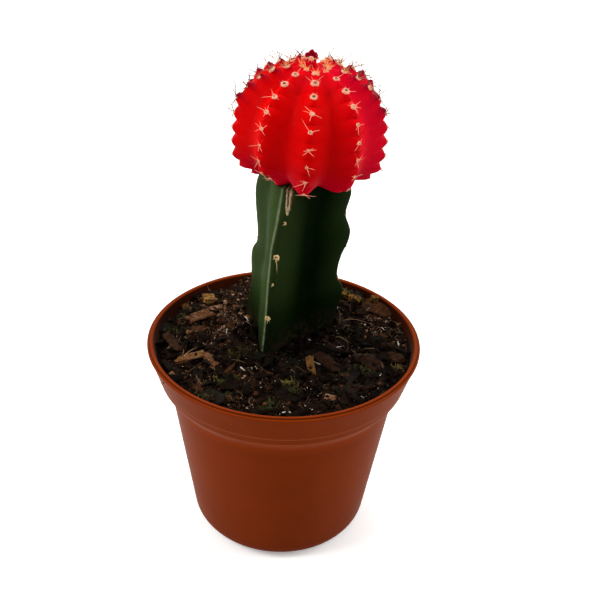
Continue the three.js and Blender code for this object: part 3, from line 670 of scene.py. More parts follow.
def noise_node(tree, place, scale, detail=3.0, roughness=0.55, distortion=0.0):
    links = {"Vector": place, "Scale": scale, "Detail": detail, "Roughness": roughness}
    return node(tree, "ShaderNodeTexNoise", {**links, "Distortion": distortion}).outputs["Fac"]


def new_group(name, numbers, outputs):
    """An empty shader group with a vector and named numbers for its inputs, and named number outputs."""
    tree = bpy.data.node_groups.new(name, "ShaderNodeTree")
    tree.interface.new_socket("Vector", in_out="INPUT", socket_type="NodeSocketVector")
    for label, default in numbers.items():
        socket = tree.interface.new_socket(label, in_out="INPUT", socket_type="NodeSocketFloat")
        socket.default_value = default
    for label in outputs:
        tree.interface.new_socket(label, in_out="OUTPUT", socket_type="NodeSocketFloat")
    return tree, tree.nodes.new("NodeGroupInput").outputs, tree.nodes.new("NodeGroupOutput").inputs


def effect(tree, name, **values):
    """A shared group placed in a material on Object coordinates, with its own values."""
    links = {key.title(): value for key, value in values.items()}
    links["Vector"] = object_place(tree)
    return node(tree, "ShaderNodeGroup", links, node_tree=bpy.data.node_groups[name]).outputs


def build_mottle_group():
    """Soft clouds with finer grain over them: a mask for colour and a height for relief."""
    tree, given, out = new_group("Mottle", {"Scale": 60.0, "Contrast": 0.5}, ["Mask", "Height"])
    clouds = noise_node(tree, given["Vector"], given["Scale"], 4.0, 0.6, 0.4)
    grain = noise_node(tree, given["Vector"], times(tree, given["Scale"], 11.0), 3.0, 0.6)
    half = times(tree, given["Contrast"], 0.5)
    low = reckoned(tree, "SUBTRACT", 0.5, half)
    mask = ranged(tree, clouds, plus(tree, 0.5, half), low, ease="LINEAR")
    tree.links.new(mask, out["Mask"])
    tree.links.new(plus(tree, times(tree, clouds, 0.6), grain), out["Height"])


def build_speck_group():
    """Scattered round specks: cells nearer to their own middle than a size, where their draw allows them."""
    tree, given, out = new_group("Specks", {"Scale": 900.0, "Size": 0.2, "Share": 0.3}, ["Mask"])
    cells = node(tree, "ShaderNodeTexVoronoi", {"Vector": given["Vector"], "Scale": given["Scale"]}).outputs
    spot = ranged(tree, cells["Distance"], given["Size"], times(tree, given["Size"], 0.6), ease="LINEAR")
    drawn = node(tree, "ShaderNodeSeparateColor", {"Color": cells["Color"]}).outputs["Red"]
    allowed = reckoned(tree, "LESS_THAN", drawn, given["Share"])
    tree.links.new(times(tree, spot, allowed), out["Mask"])


def build_scuff_group():
    """Rubbed patches broken up by fine streaks: a mask for colour and gloss."""
    tree, given, out = new_group("Scuffs", {"Scale": 40.0, "Amount": 0.5}, ["Mask"])
    patches = noise_node(tree, given["Vector"], given["Scale"], 5.0, 0.62, 0.6)
    streaks = noise_node(tree, given["Vector"], times(tree, given["Scale"], 16.0), 4.0, 0.7, 1.2)
    edge = reckoned(tree, "SUBTRACT", 0.72, times(tree, given["Amount"], 0.24))
    mask = ranged(tree, patches, edge, plus(tree, edge, 0.16), ease="LINEAR")
    tree.links.new(times(tree, mask, ranged(tree, streaks, 0.35, 0.62)), out["Mask"])


def new_material(name):
    material = bpy.data.materials.new(name)
    material.use_nodes = True
    return material, material.node_tree


def surface(tree, base, roughness, specular=0.5, normal=None, **others):
    """Feeds the Principled surface. Other sockets are named in small letters with underlines."""
    fed = {"base_color": base, "roughness": roughness, "specular_ior_level": specular, **others}
    if normal:
        fed["normal"] = normal
    for key, value in fed.items():
        socket = tree.nodes["Principled BSDF"].inputs[key.replace("_", " ").title().replace("Ior", "IOR")]
        if isinstance(value, bpy.types.NodeSocket):
            tree.links.new(value, socket)
        else:
            socket.default_value = value


def relief(tree, height, distance, strength, under=None):
    """A Bump's normal from a height that stands so many metres proud."""
    links = {"Height": height, "Distance": distance, "Strength": strength}
    if under:
        links["Normal"] = under
    return node(tree, "ShaderNodeBump", links).outputs["Normal"]


def plastic_material(look):
    """Satin moulded plastic: fine pebbled skin, faint flow marks down the wall, scuffs and dried drops. The
    inside is darkened by painted shade, a band under the collar is lightened by painted light against the
    collar's shadow, and painted highlights run along the collar's edges."""
    material, tree = new_material("Terracotta plastic")
    flow = noise_node(tree, object_place(tree, (260, 260, 14)), 1)
    mottle = effect(tree, "Mottle", scale=46, contrast=0.7)
    scuffs = effect(tree, "Scuffs", scale=34, amount=0.45)["Mask"]
    specks = effect(tree, "Specks", scale=520, size=0.16, share=0.14)["Mask"]
    lighter = [1.1 * c + 0.001 for c in look.colour]
    base = blended(tree, mottle["Mask"], tinted(look.colour, 0.82), lighter)
    base = blended(tree, ranged(tree, flow, 0.45, 0.75, 0, 0.28), base, look.colour)
    base = painted(tree, base, look.bloom, reckoned(tree, "MAXIMUM", scuffs, specks), 0.12)
    z = node(tree, "ShaderNodeSeparateXYZ", {"Vector": object_place(tree)}).outputs["Z"]
    level = {0: object_place(tree, (1, 1, 0))}
    radius = node(tree, "ShaderNodeVectorMath", level, operation="LENGTH").outputs["Value"]

    def between(foot, low, high, top):
        """A share that grows from the foot to the low level and is gone again from the high to the top."""
        return times(tree, ranged(tree, z, foot * MM, low * MM), ranged(tree, z, top * MM, high * MM))

    def line(value, middle, share=1):
        off = reckoned(tree, "ABSOLUTE", reckoned(tree, "SUBTRACT", value, middle))
        return ranged(tree, off, *LINE_FADE, 0, share)

    # Painted shade: the inner wall above the soil is darkened, a little unevenly
    past = reckoned(tree, "SUBTRACT", radius, times(tree, z, MID_WALL_SLOPE))
    inside = ranged(tree, past, MID_WALL_RADIUS + 0.2 * MM, MID_WALL_RADIUS - 0.2 * MM)
    inside = times(tree, inside, between(45, 55, 67.3, 68))
    inner_shade_mottle = ranged(tree, mottle["Height"], 0.5, 1.0, 0.93, 1.0)
    base = blended(tree, times(tree, inside, inner_shade_mottle), base, (0.030, 0.0056, 0.0016))
    # Painted light: the wall just under the collar is lightened to cancel the collar's shadow
    base = painted(tree, base, tinted(look.colour, 1.32), between(45.5, 52.5, 55.7, 56.1), 0.9)
    # Painted highlights: thin pale lines along the collar's lower edge and its crease
    for line_z, share in COLLAR_HIGHLIGHT_LINES:
        base = blended(tree, line(z, line_z, share), base, (0.42, 0.13, 0.05))
    groove = times(tree, line(radius, GROOVE_RADIUS), ranged(tree, z, 67.2 * MM, 67.6 * MM))
    base = painted(tree, base, tinted(look.colour, 0.2), groove, 0.75)
    satin = plus(tree, look.roughness - 0.04, times(tree, mottle["Mask"], 0.08))
    satin = plus(tree, satin, times(tree, scuffs, 0.16))
    skin = relief(tree, noise_node(tree, object_place(tree), 2600, 2), 0.00004, 0.5)
    skin = relief(tree, flow, 0.00012, 0.4, skin)
    surface(
        tree, base, satin, 0.010, skin, sheen_weight=0.10, sheen_roughness=0.35, sheen_tint=(1, 0.75, 0.6, 1)
    )
    return material


def mix_material(look):
    """Moist bark-based mix: near-black crumbs, browner where drier, glinting where wet, and painted shade in
    its hollows.
    """
    material, tree = new_material("Moist potting mix")
    place = object_place(tree)
    mottle = effect(tree, "Mottle", scale=210, contrast=0.5)
    specks = effect(tree, "Specks", scale=1100, size=0.26, share=0.16)["Mask"]
    brown = [3.0 * c + 0.002 for c in look.colour]
    base = blended(tree, mottle["Mask"], look.colour, brown)
    base = painted(tree, base, tinted(look.bark, 0.42), specks, 0.5)
    # Painted shade: the mix is darkened to near black down in its hollows
    base = painted(tree, base, (0.0012, 0.0008, 0.0006), attribute(tree, "hollow"), 0.9)
    gloss = ranged(tree, noise_node(tree, place, 420, 3, 0.6), 0.42, 0.62, 0.85, 0.3)
    skin = relief(tree, mottle["Height"], 0.0006, 0.9)
    skin = relief(tree, noise_node(tree, place, 2300, 4, 0.7), 0.0002, 0.8, skin)
    surface(tree, base, gloss, 0.02, skin)
    return material


def bark_material(look):
    """Bark and crumbs: a tone stored on each piece runs from near black to pale tan, with drawn-out grain,
    grey weathering on the darker ones and lichen where it is stored."""
    material, tree = new_material("Composted bark")
    place = object_place(tree)
    tone = attribute(tree, "tone")
    grain = noise_node(tree, object_place(tree, (900, 2600, 1500)), 1, 4, 0.65)
    mottle = effect(tree, "Mottle", scale=330, contrast=0.6)
    varied = plus(tree, tone, ranged(tree, grain, 0.35, 0.68, -0.16, 0.13))
    varied = plus(tree, varied, times(tree, mottle["Mask"], -0.08))
    ramp = node(tree, "ShaderNodeValToRGB", {"Fac": varied})
    stops = ramp.color_ramp.elements
    stops[0].color = (0.0034, 0.0016, 0.0009, 1)
    palest = [min(1, 2.1 * c + d) for c, d in zip(look.bark, (0.12, 0.19, 0.17))]
    stops[1].color = (*palest, 1)
    for position, share in ((0.3, 0.06), (0.52, 0.24), (0.78, 0.62)):
        stops.new(position).color = (*tinted(look.bark, share), 1)
    weathered = ranged(tree, noise_node(tree, place, 75, 2), 0.5, 0.68, 0.0, 0.6)
    grey = times(tree, weathered, ranged(tree, tone, 0.5, 0.25))
    base = blended(tree, grey, ramp.outputs["Color"], (0.0085, 0.0085, 0.0050))
    patchy = ranged(tree, noise_node(tree, place, 900, 3, 0.7), 0.42, 0.62)
    base = painted(tree, base, (0.30, 0.16, 0.02), attribute(tree, "lichen"), patchy)
    gloss = ranged(tree, noise_node(tree, place, 300, 2), 0.4, 0.62, 0.8, 0.3)
    skin = relief(tree, grain, 0.0004, 0.9)
    skin = relief(tree, mottle["Height"], 0.0003, 0.7, skin)
    surface(tree, base, gloss, 0.035, skin)
    return material


def grit_and_glint_material():
    """Pale flakes for both mineral grit and painted glints: chalky white with pores and soil stains."""
    material, tree = new_material("Grit and glints")
    mottle = effect(tree, "Mottle", scale=500, contrast=0.5)
    base = painted(tree, (0.90, 0.84, 0.76), (0.30, 0.22, 0.15), mottle["Mask"], 0.75)
    surface(tree, base, 0.8, normal=relief(tree, mottle["Height"], 0.0004, 0.9))
    return material


def moss_material():
    """Moss: short leaves, darker at the root and yellower at the tip."""
    material, tree = new_material("Moss")
    mottle = effect(tree, "Mottle", scale=260, contrast=0.6)
    yellow = ranged(tree, noise_node(tree, object_place(tree), 60, 1), 0.45, 0.6)
    tips = blended(tree, yellow, (0.075, 0.085, 0.020), (0.36, 0.29, 0.065))
    base = blended(tree, attribute(tree, "along"), (0.008, 0.010, 0.003), tips)
    base = painted(tree, base, (0.04, 0.026, 0.008), mottle["Mask"], 0.4)
    surface(tree, base, 0.62, 0.12)
    return material


def fibre_material():
    """Loose fibres and roots: straw to brown, with fine bands round them."""
    material, tree = new_material("Root fibre")
    mottle = effect(tree, "Mottle", scale=380, contrast=0.6)
    base = blended(tree, attribute(tree, "tone"), (0.022, 0.011, 0.006), (0.40, 0.245, 0.12))
    base = painted(tree, base, (0.03, 0.016, 0.009), mottle["Mask"], 0.5)
    surface(tree, base, 0.6, 0.12, relief(tree, mottle["Height"], 0.0002, 0.7))
    return material


def stem_material(look):
    """Waxy green skin: paler worn crests, a corky scar with a cream edge, tiny pale dots and soil splash."""
    material, tree = new_material("Rootstock skin")
    place = object_place(tree)
    mottle = effect(tree, "Mottle", scale=75, contrast=0.6)
    dots = effect(tree, "Specks", scale=1500, size=0.22, share=0.4)["Mask"]
    scuffs = effect(tree, "Scuffs", scale=70, amount=0.7)["Mask"]
    scar, rim = attribute(tree, "scar"), attribute(tree, "scar_rim")
    base = blended(tree, mottle["Mask"], tinted(look.skin, 0.74), tinted(look.skin, 1.22))
    base = painted(tree, base, tinted(look.crest, 0.6), dots, 0.06)
    base = painted(tree, base, tinted(look.crest, 0.5), scuffs, 0.08)
    # Painted shade: a stored value darkens the skin towards near black where the stem turns from the light
    painted_shade_colour = [0.05 * c * d for c, d in zip(look.skin, (0.5, 1.6, 0.4))]
    base = blended(tree, attribute(tree, "painted_shade"), base, painted_shade_colour)
    worn = times(tree, attribute(tree, "crest"), ranged(tree, mottle["Height"], 0.6, 0.95, 1.0, 0.6))
    base = painted(tree, base, look.crest, worn, 0.9)
    grain = noise_node(tree, object_place(tree, (1800, 1800, 420)), 1, 4, 0.65)
    cork = blended(tree, ranged(tree, grain, 0.38, 0.64), tinted(look.cork, 0.12), tinted(look.cork, 0.6))
    base = blended(tree, scar, base, cork)
    cream = blended(tree, ranged(tree, grain, 0.35, 0.6), (0.22, 0.15, 0.07), (0.62, 0.52, 0.33))
    base = blended(tree, rim, base, cream)
    spatter = ranged(tree, noise_node(tree, place, 520, 4, 0.7), 0.4, 0.6)
    splash = times(tree, attribute(tree, "dirt"), spatter)
    base = blended(tree, splash, base, (0.020, 0.012, 0.008))
    dull = reckoned(tree, "MAXIMUM", reckoned(tree, "MAXIMUM", scar, rim), splash)
    gloss = plus(tree, ranged(tree, mottle["Height"], 0.5, 1.0, 0.3, 0.44), times(tree, dull, 0.4))
    skin = relief(tree, mottle["Height"], 0.0002, 0.5)
    skin = relief(tree, noise_node(tree, place, 1900), 0.00006, 0.6, skin)
    skin = relief(tree, times(tree, grain, scar), 0.0004, 0.9, skin)
    surface(tree, base, gloss, 0.002, skin)
    return material


def scion_material(look):
    """Waxy red flesh: painted shade that darkens the valleys, the underside and the teeth of the back ribs,
    crimson young flesh and tooth tips, faint bands across the ribs and fine papillae, with light that soaks
    a little way in."""
    material, tree = new_material("Scion skin")
    mottle = effect(tree, "Mottle", scale=90, contrast=0.6)
    papillae = effect(tree, "Specks", scale=2600, size=0.42, share=0.9)["Mask"]
    # Painted shade: the valley colour darkens the flesh down the valleys and over the lower half of the
    # globe
    base = blended(tree, attribute(tree, "valley"), look.skin, look.valley)
    base = painted(tree, base, tinted(look.skin, 0.84), mottle["Mask"], 0.35)
    # The young value also paints crimson under the globe, as part of the painted shade there
    base = painted(tree, base, look.blush, attribute(tree, "young"), 0.75)
    # Dark crimson: partly the knobs' own tips, partly painted shade on the teeth of the side and back ribs
    # and under the globe
    base = painted(tree, base, (0.11, 0.0, 0.012), attribute(tree, "tip"), 0.85)
    base = painted(tree, base, tinted(look.valley, 0.7), attribute(tree, "band"), 0.22)
    gloss = ranged(tree, mottle["Height"], 0.5, 1.0, 0.40, 0.52)
    skin = relief(tree, papillae, 0.00005, 0.5, relief(tree, mottle["Height"], 0.0002, 0.4))
    surface(
        tree, base, gloss, 0.015, skin,
        subsurface_weight=0.35, subsurface_scale=0.002, subsurface_radius=(1.0, 0.1, 0.08),
    )
    return material


def wool_material(name, pale, pit):
    """Felt of an areole: matted wool, a little deeper between its strands, with its pit's own colour."""
    material, tree = new_material(name)
    strands = noise_node(tree, object_place(tree), 3200, 4, 0.75, 1.5)
    mottle = effect(tree, "Mottle", scale=700, contrast=0.5)
    base = blended(tree, ranged(tree, strands, 0.36, 0.6), tinted(pale, 0.88), pale)
    base = painted(tree, base, tinted(pale, 0.7), mottle["Mask"], 0.15)
    base = painted(tree, base, pit, attribute(tree, "pit"), 0.95)
    surface(tree, base, 0.85, 0.02, relief(tree, strands, 0.0002, 0.8))
    return material


def spine_material(name, horn, tip=0.4):
    """Horny spines: darker at root and tip, finely mottled, and darkened along most of their length where so
    stored.
    """
    material, tree = new_material(name)
    along = attribute(tree, "along")
    mottle = effect(tree, "Mottle", scale=900, contrast=0.6)
    base = blended(tree, ranged(tree, along, 0.0, 0.3), tinted(horn, 0.78), horn)
    base = blended(tree, ranged(tree, along, 0.7, 1.0, 0, 0.6), base, tinted(horn, tip))
    base = painted(tree, base, tinted(horn, 0.7), mottle["Mask"], 0.2)
    # Where so stored, a spine is darkened along most of its length
    base = painted(tree, base, (0.026, 0.020, 0.011), attribute(tree, "darkened"), ranged(tree, along, 0.0, 0.12))
    surface(tree, base, 0.4, 0.06)
    return material


def floor_material(look):
    """Pale matt card with the faintest fibre in it, which the camera sees almost white."""
    material, tree = new_material("Pale card")
    clouds = noise_node(tree, object_place(tree), 30)
    base = blended(tree, clouds, tinted(look.floor, 0.985), look.floor)
    seen = node(tree, "ShaderNodeLightPath").outputs["Is Camera Ray"]
    base = blended(tree, seen, base, (0.97, 0.97, 0.97))
    surface(tree, base, 0.9, 0.1, emission_color=(1, 1, 1, 1), emission_strength=times(tree, seen, 0.3))
    return material


def inner_radius(z):
    """Radius of the pot's inner wall: one straight line above the ledge and another below it."""
    rise = POT_HEIGHT - 0.4 * MM - COLLAR_CREASE_Z
    collar = COLLAR_CREASE_RADIUS - WALL
    upper = collar + (LIP_INNER_RADIUS - collar) * (z - COLLAR_CREASE_Z) / rise
    slope = (BODY_TOP_RADIUS - BODY_FOOT_RADIUS) / (BODY_TOP_Z - FOOT_FILLET)
    lower = BODY_FOOT_RADIUS - WALL + slope * (z - FOOT_FILLET)
    return np.where(z > LEDGE_Z, upper, lower)


def wall_reach(clearance):
    """Radius of the inner wall at the soil's level, less a clearance."""
    return float(inner_radius(SOIL_WALL_Z)) - clearance


def ledge_corners():
    """Radius and height of the two corners that the inner wall has at its ledge."""
    levels = (LEDGE_Z + LEDGE_HALF_HEIGHT, LEDGE_Z - LEDGE_HALF_HEIGHT)
    return [(float(inner_radius(z)), z) for z in levels]


def rounded_line(corners, steps=5):
    """A line through corners of radius, height and rounding. Each corner is cut off at its rounding along
    both sides, and a quadratic curve joins the two cuts."""
    corners = np.array(corners, float)
    places, cuts = corners[:, :2], corners[1:-1, 2:]
    bent = places[1:-1]
    start = bent + cuts * unit(places[:-2] - bent)
    end = bent + cuts * unit(places[2:] - bent)
    t = np.linspace(0, 1, steps)[:, None, None]
    bends = (1 - t) ** 2 * start + 2 * t * (1 - t) * bent + t**2 * end
    bends = bends.transpose(1, 0, 2).reshape(-1, 2)
    return np.concatenate([places[:1], bends, places[-1:]])


def fillet_arc(radius, height, size, steps=14):
    """Quarter round of the pot's foot: the middle plus size times cosine and sine of the angle."""
    angle = np.radians(np.linspace(-90, -8.5, steps))
    return np.stack([radius + size * np.cos(angle), height + size * np.sin(angle)], -1)


def pot_section():
    """The pot's section, from the middle of its underside out, up, over the lip and back to the middle."""
    foot = BODY_FOOT_RADIUS - FOOT_FILLET
    bottom_edge = foot - 0.4 * MM
    soft = 0.5 * MM
    under = rounded_line([
        (POLE_RADIUS, BASE_PANEL_RISE, 0), (BASE_PANEL_RADIUS, BASE_PANEL_RISE, soft),
        (FOOT_RING_INNER_RADIUS, 0, soft), (bottom_edge, 0, 0),
    ])
    ledge = [(*corner, 0.6 * MM) for corner in ledge_corners()]
    low_wall = (inner_radius(20 * MM), 20 * MM, 0)
    outside = rounded_line([*(np.array(POT_OUTSIDE) * MM), *ledge, low_wall])
    inside = rounded_line([
        (bottom_edge, FLOOR_THICKNESS, 0), (FOOT_RING_INNER_RADIUS, FLOOR_THICKNESS, soft),
        (BASE_PANEL_RADIUS - 1 * MM, BASE_PANEL_RISE + FLOOR_THICKNESS, soft),
        (POLE_RADIUS, BASE_PANEL_RISE + FLOOR_THICKNESS, 0),
    ])
    inner = FOOT_FILLET - WALL
    outer_arc = fillet_arc(foot, FOOT_FILLET, FOOT_FILLET)
    inner_arc = fillet_arc(foot, inner + FLOOR_THICKNESS, inner)[::-1]
    return np.concatenate([under, outer_arc, outside, inner_arc, inside])


def prisms(outlines, middles, high, low):
    """Upright closed prisms: each outline and its middle, put at a high and at a low level."""
    count, sides = outlines.shape[:2]
    levels = np.array([(0, 0, high), (0, 0, low)])
    walls = outlines[:, None] + levels[:, None]
    points = np.concatenate([walls.reshape(count, -1, 3), middles[:, None] + levels], 1)
    return points, repeated(closed_faces(2, sides), count, 2 * sides + 2)


def drains_and_channels():
    """One form for all that is cut from the base, hidden from every render: round holes and flat bars."""
    angle = 2 * np.pi * np.arange(DRAIN_SIDES) / DRAIN_SIDES
    around = outward(360 * np.arange(DRAIN_COUNT) / DRAIN_COUNT) * DRAIN_CIRCLE_RADIUS
    middles = np.concatenate([[[0, 0, 0]], around])
    radii = np.array([DRAIN_CENTRE_RADIUS] + [DRAIN_RADIUS] * DRAIN_COUNT)
    ring = np.stack([np.cos(angle), np.sin(angle), 0 * angle], -1)
    holes = prisms(middles[:, None] + radii[:, None, None] * ring, middles, 6 * MM, -6 * MM)
    turn = 45 + 360 * np.arange(CHANNEL_COUNT) / CHANNEL_COUNT
    reach = np.array([BASE_PANEL_RADIUS, 29.5 * MM])
    end, side = np.array([(1, 1), (1, -1), (0, -1), (0, 1)]).T
    along = outward(turn)[:, None] * reach[end][:, None]
    flat = along + outward(turn + 90)[:, None] * (CHANNEL_WIDTH / 2 * side)[:, None]
    bars, faces = prisms(flat, outward(turn) * reach.mean(), CHANNEL_DEPTH, -3 * MM)
    made = mesh_object("cutter", *joined([holes, (bars, flipped(faces))]))
    made.hide_render = True
    return made


def cut_away(piece, tool):
    """Takes the tool's form away from the piece, keeps the result as its mesh and removes the tool."""
    change = piece.modifiers.new("Holes", "BOOLEAN")
    change.operation = "DIFFERENCE"
    change.solver = "EXACT"
    change.object = tool
    bpy.context.view_layer.update()
    solid = bpy.data.meshes.new_from_object(piece.evaluated_get(bpy.context.evaluated_depsgraph_get()))
    piece.modifiers.clear()
    piece.data = solid
    bpy.data.objects.remove(tool)


def stem_axis(z):
    """The stem's middle line, which leans by the square of the depth below its straight part."""
    below = np.maximum(STEM_STRAIGHT_Z - z, 0) / (STEM_STRAIGHT_Z - STEM_LEAN_Z)
    return np.stack([STEM_TOP_X - STEM_LEAN_X * below**2, STEM_Y + 0 * z, z], -1)


def crest_values(z):
    """Azimuths and radii of the left, front and right crests at heights, in degrees and metres."""
    azimuths = [LEFT_AZIMUTH + 0 * z, curve(FRONT_AZIMUTHS, z), RIGHT_AZIMUTH + 0 * z]
    return azimuths, [curve(radii, z) * MM for radii in (LEFT_RADII, FRONT_RADII, RIGHT_RADII)]


def face_section(z, face, share):
    """Azimuth and radius of the stem at a share of the way from one crest to the next. The face is a
    straight line, the radius being the crest's times a ratio of cosines, hollowed in its middle, and the
    shoulder is a cone that rounds into it."""
    azimuths, radii = crest_values(z)
    after = (face + 1) % 3
    span = (azimuths[after] - azimuths[face]) % 360
    half = np.radians(span / 2)
    nearness = 1 - np.abs(2 * share - 1)
    away = np.minimum(np.hypot(nearness * half, CREST_ROUNDING), half)
    blend = smooth_step(0, 1, nearness)
    own = np.where(share < 0.5, radii[face], radii[after])
    radius = mix(own, (radii[face] + radii[after]) / 2, blend)
    straight = radius * np.cos(half - CREST_ROUNDING) / np.cos(half - away)
    azimuth = azimuths[face] + span * share
    shoulder = SHOULDER_RADIUS + SHOULDER_SHIFT * np.sin(np.radians(azimuth))
    shoulder = shoulder + SHOULDER_SLOPE * (GRAFT_Z - z)
    side = straight - FACE_HOLLOW * blend
    section = (side + shoulder - np.hypot(side - shoulder, SHOULDER_ROUNDING)) / 2
    buried = smooth_step(BURIED_Z - 2 * MM, BURIED_Z + BURIED_TAPER, z)
    return azimuth, section * mix(BURIED_SHARE, 1, buried)


def stem_radius(z, azimuth):
    """Radius of the stem towards an azimuth, from whichever face holds it."""
    azimuths, _ = crest_values(z)
    radius = np.zeros(np.broadcast(z, azimuth).shape)
    for face in range(3):
        span = (azimuths[(face + 1) % 3] - azimuths[face]) % 360
        turned = (azimuth - azimuths[face]) % 360
        _, found = face_section(z, face, np.clip(turned / span, 0, 1))
        radius = np.where(turned < span, found, radius)
    return radius


def scar_marks(z, share):
    """The corky scar, and its pale stripes and foot, at shares of a face past the front crest."""
    left, right = (np.interp(z / MM, SCAR_EDGES[:, 0], SCAR_EDGES[:, k]) for k in (1, 2))
    across = (share - left) / np.maximum(right - left, 1e-4)
    scar = smooth_step(-0.06, 0.06, across) * smooth_step(1.06, 0.94, across)
    scar = scar * smooth_step(112.2 * MM, 112.7 * MM, z)
    stripes = np.exp(-(((across - 0.12) / 0.1) ** 2)) + np.exp(-(((across - 0.62) / 0.15) ** 2))
    return scar, scar * np.clip(stripes + smooth_step(115.5 * MM, 113 * MM, z), 0, 1)


def stem_face(z, face, share):
    """Points and marks of one face: uneven by noise, paler at its crests, darkened by painted shade where it
    turns from the light, with the scar sunk in and its pale rim raised. The relief fades out towards the
    graft."""
    azimuth, radius = face_section(z, face, share)
    point = outward(azimuth) * radius[..., None] + stem_axis(z)
    to_side_crest = np.minimum(share + (face == RIGHT_FACE), 1 - share + (face == LEFT_FACE))
    crest = 0.3 * np.exp(-((to_side_crest / 0.014) ** 2)) + 0 * z
    # Painted shade darkens the skin: a little away from the front crest, between its pale line and that
    # crest and low down on the left face, nearly black across the right face, and half way on the rear one
    if face == LEFT_FACE:
        line = curve(CREST_LINE, z)
        crest = crest + np.exp(-(((share - line) / 0.012) ** 2))
        painted_shade = 0.26 * smooth_step(0.8, 0.45, share) + 0.72 * smooth_step(86 * MM, 66 * MM, z)
        painted_shade = painted_shade + 0.5 * smooth_step(line, line + 0.02, share)
    elif face == RIGHT_FACE:
        deep = smooth_step(0.0, 0.36, share) * smooth_step(1.3, 0.6, share)
        painted_shade = mix(mix(0.5, 0.9, smooth_step(90 * MM, 70 * MM, z)), 1, deep)
    else:
        painted_shade = mix(0.5, 0.86, smooth_step(80 * MM, 66 * MM, z)) + 0 * share
    scar, rim = scar_marks(z, share + face - 1)
    swell = 0.14 * MM * noise(point, 6 * MM, 71) + 0.05 * MM * noise(point, 2 * MM, 73)
    swell = (swell - 0.22 * MM * scar + 0.2 * MM * rim) * smooth_step(GRAFT_Z, GRAFT_Z - 1.5 * MM, z)
    point = point + outward(azimuth) * swell[..., None]
    return point, {"crest": crest, "scar": scar, "scar_rim": rim, "painted_shade": np.clip(painted_shade, 0, 1)}


def soil_height(x, y):
    """Level of the settled mix: a rise to the rear and a mound round the stem."""
    from_stem = np.hypot(x - stem_axis(SOIL_WALL_Z)[0], y - STEM_Y)
    mound = 1 - smooth_step(8 * MM, SOIL_MOUND_RADIUS, from_stem)
    rear = np.clip(y / RIM_RADIUS, -0.4, 1)
    return SOIL_WALL_Z + SOIL_REAR_RISE * rear + SOIL_MOUND_RISE * mound


def lumpy_height(x, y, amount):
    """The level with its lumps: rough noise in cells of 7 and 2 mm, creases where a noise crosses 0, a rise
    at the wall and the heaps."""
    place = np.stack([x, y], -1)
    broad = rough_noise(place, 7 * MM, 3, 11)
    fine = rough_noise(place, 2.1 * MM, 3, 53)
    crease = 1 - smooth_step(0, 0.35, np.abs(noise(place, 4.2 * MM, 91)))
    piled = 0.35 * MM * smooth_step(28 * MM, 37 * MM, np.hypot(x, y)) + MM * bells(x, y, HEAPS)
    return soil_height(x, y) + piled + amount * (0.62 * broad + 0.5 * fine - 0.75 * crease + 0.15)


def soil_rows(amount):
    """Grid of the soil from the bottom of the stem's hole up its wall, out over the surface to the pot's
    wall and down that to the base."""
    azimuth = np.linspace(-180, 180, 361)[:-1]
    around = outward(azimuth)
    up = np.array([0, 0, 1])
    hole_z = np.linspace(BURIED_Z + 2 * MM, 60 * MM, 10)[:, None]
    hole = around * (stem_radius(hole_z, azimuth) + 0.4 * MM)[..., None] + stem_axis(hole_z)
    edge = around * (stem_radius(FOOT_Z, azimuth) + 0.35 * MM)[:, None] + stem_axis(FOOT_Z) * [1, 1, 0]
    share = np.linspace(0, 1, 104)[:, None, None] ** 0.92
    flat = mix(edge, around * wall_reach(GAP), share)
    fade = 1 - smooth_step(0.96, 1, share[..., 0])
    calm, lumpy = (lumpy_height(flat[..., 0], flat[..., 1], height) for height in (0, amount))
    high = mix(calm - 0.4 * MM, lumpy, fade)
    top = flat * [1, 1, 0] + high[..., None] * up
    top[-1] = around * (inner_radius(high[-1]) - GAP)[:, None] + high[-1][:, None] * up
    low_wall = FOOT_FILLET + 2 * MM
    floor = FLOOR_THICKNESS + GAP
    side = [(radius - GAP, z + GAP) for radius, z in ledge_corners()] + [
        (inner_radius(low_wall) - GAP, low_wall), (BODY_FOOT_RADIUS - FOOT_FILLET, floor),
        (FOOT_RING_INNER_RADIUS, floor), (BASE_PANEL_RADIUS - 1 * MM, floor + BASE_PANEL_RISE),
    ]
    return np.concatenate([hole, top, [around * radius + up * z for radius, z in side]])


def turn_about(axis, angle):
    """Rotations about one axis: cosines and sines of the angles in the plane of the other two."""
    after, last = (axis + 1) % 3, (axis + 2) % 3
    made = np.zeros((*np.shape(angle), 3, 3))
    made[..., axis, axis] = 1
    made[..., after, after] = made[..., last, last] = np.cos(np.radians(angle))
    made[..., last, after] = np.sin(np.radians(angle))
    made[..., after, last] = -made[..., last, after]
    return made


def turned_axes(turn, pitch, roll):
    """Axes of pieces turned about their length, then tipped, then turned about the vertical, in degrees."""
    return turn_about(2, turn) @ turn_about(1, pitch) @ turn_about(0, roll)


def tossed(draw, count, pitch, roll):
    """Axes of pieces that lie any way round, tipped and rolled by normal draws of these spreads."""
    turn = draw.uniform(0, 360, count)
    return turned_axes(turn, draw.normal(0, pitch, count), draw.normal(0, roll, count))


def scattered(draw, count, clearance):
    """Places spread evenly over the soil, clear of the stem and the wall by a clearance."""
    tries = 3 * count
    azimuth = draw.uniform(-180, 180, tries)
    place = outward(azimuth) * (wall_reach(clearance) * np.sqrt(draw.uniform(0, 1, tries)))[:, None]
    offset = place - stem_axis(np.full(tries, SOIL_WALL_Z))
    towards = np.degrees(np.arctan2(offset[:, 0], -offset[:, 1]))
    room = np.hypot(offset[:, 0], offset[:, 1]) - stem_radius(FOOT_Z, towards)
    return place[room > clearance][:count]


def dryness_and_shadow(place):
    """How much drier and browner the mix is, or darker below 0, where one patch is a painted shadow of the
    stem: a sum of bells over its patches.
    """
    return DRYNESS_ELSEWHERE + bells(place[:, 0], place[:, 1], DRY_AND_SHADOW_PATCHES)


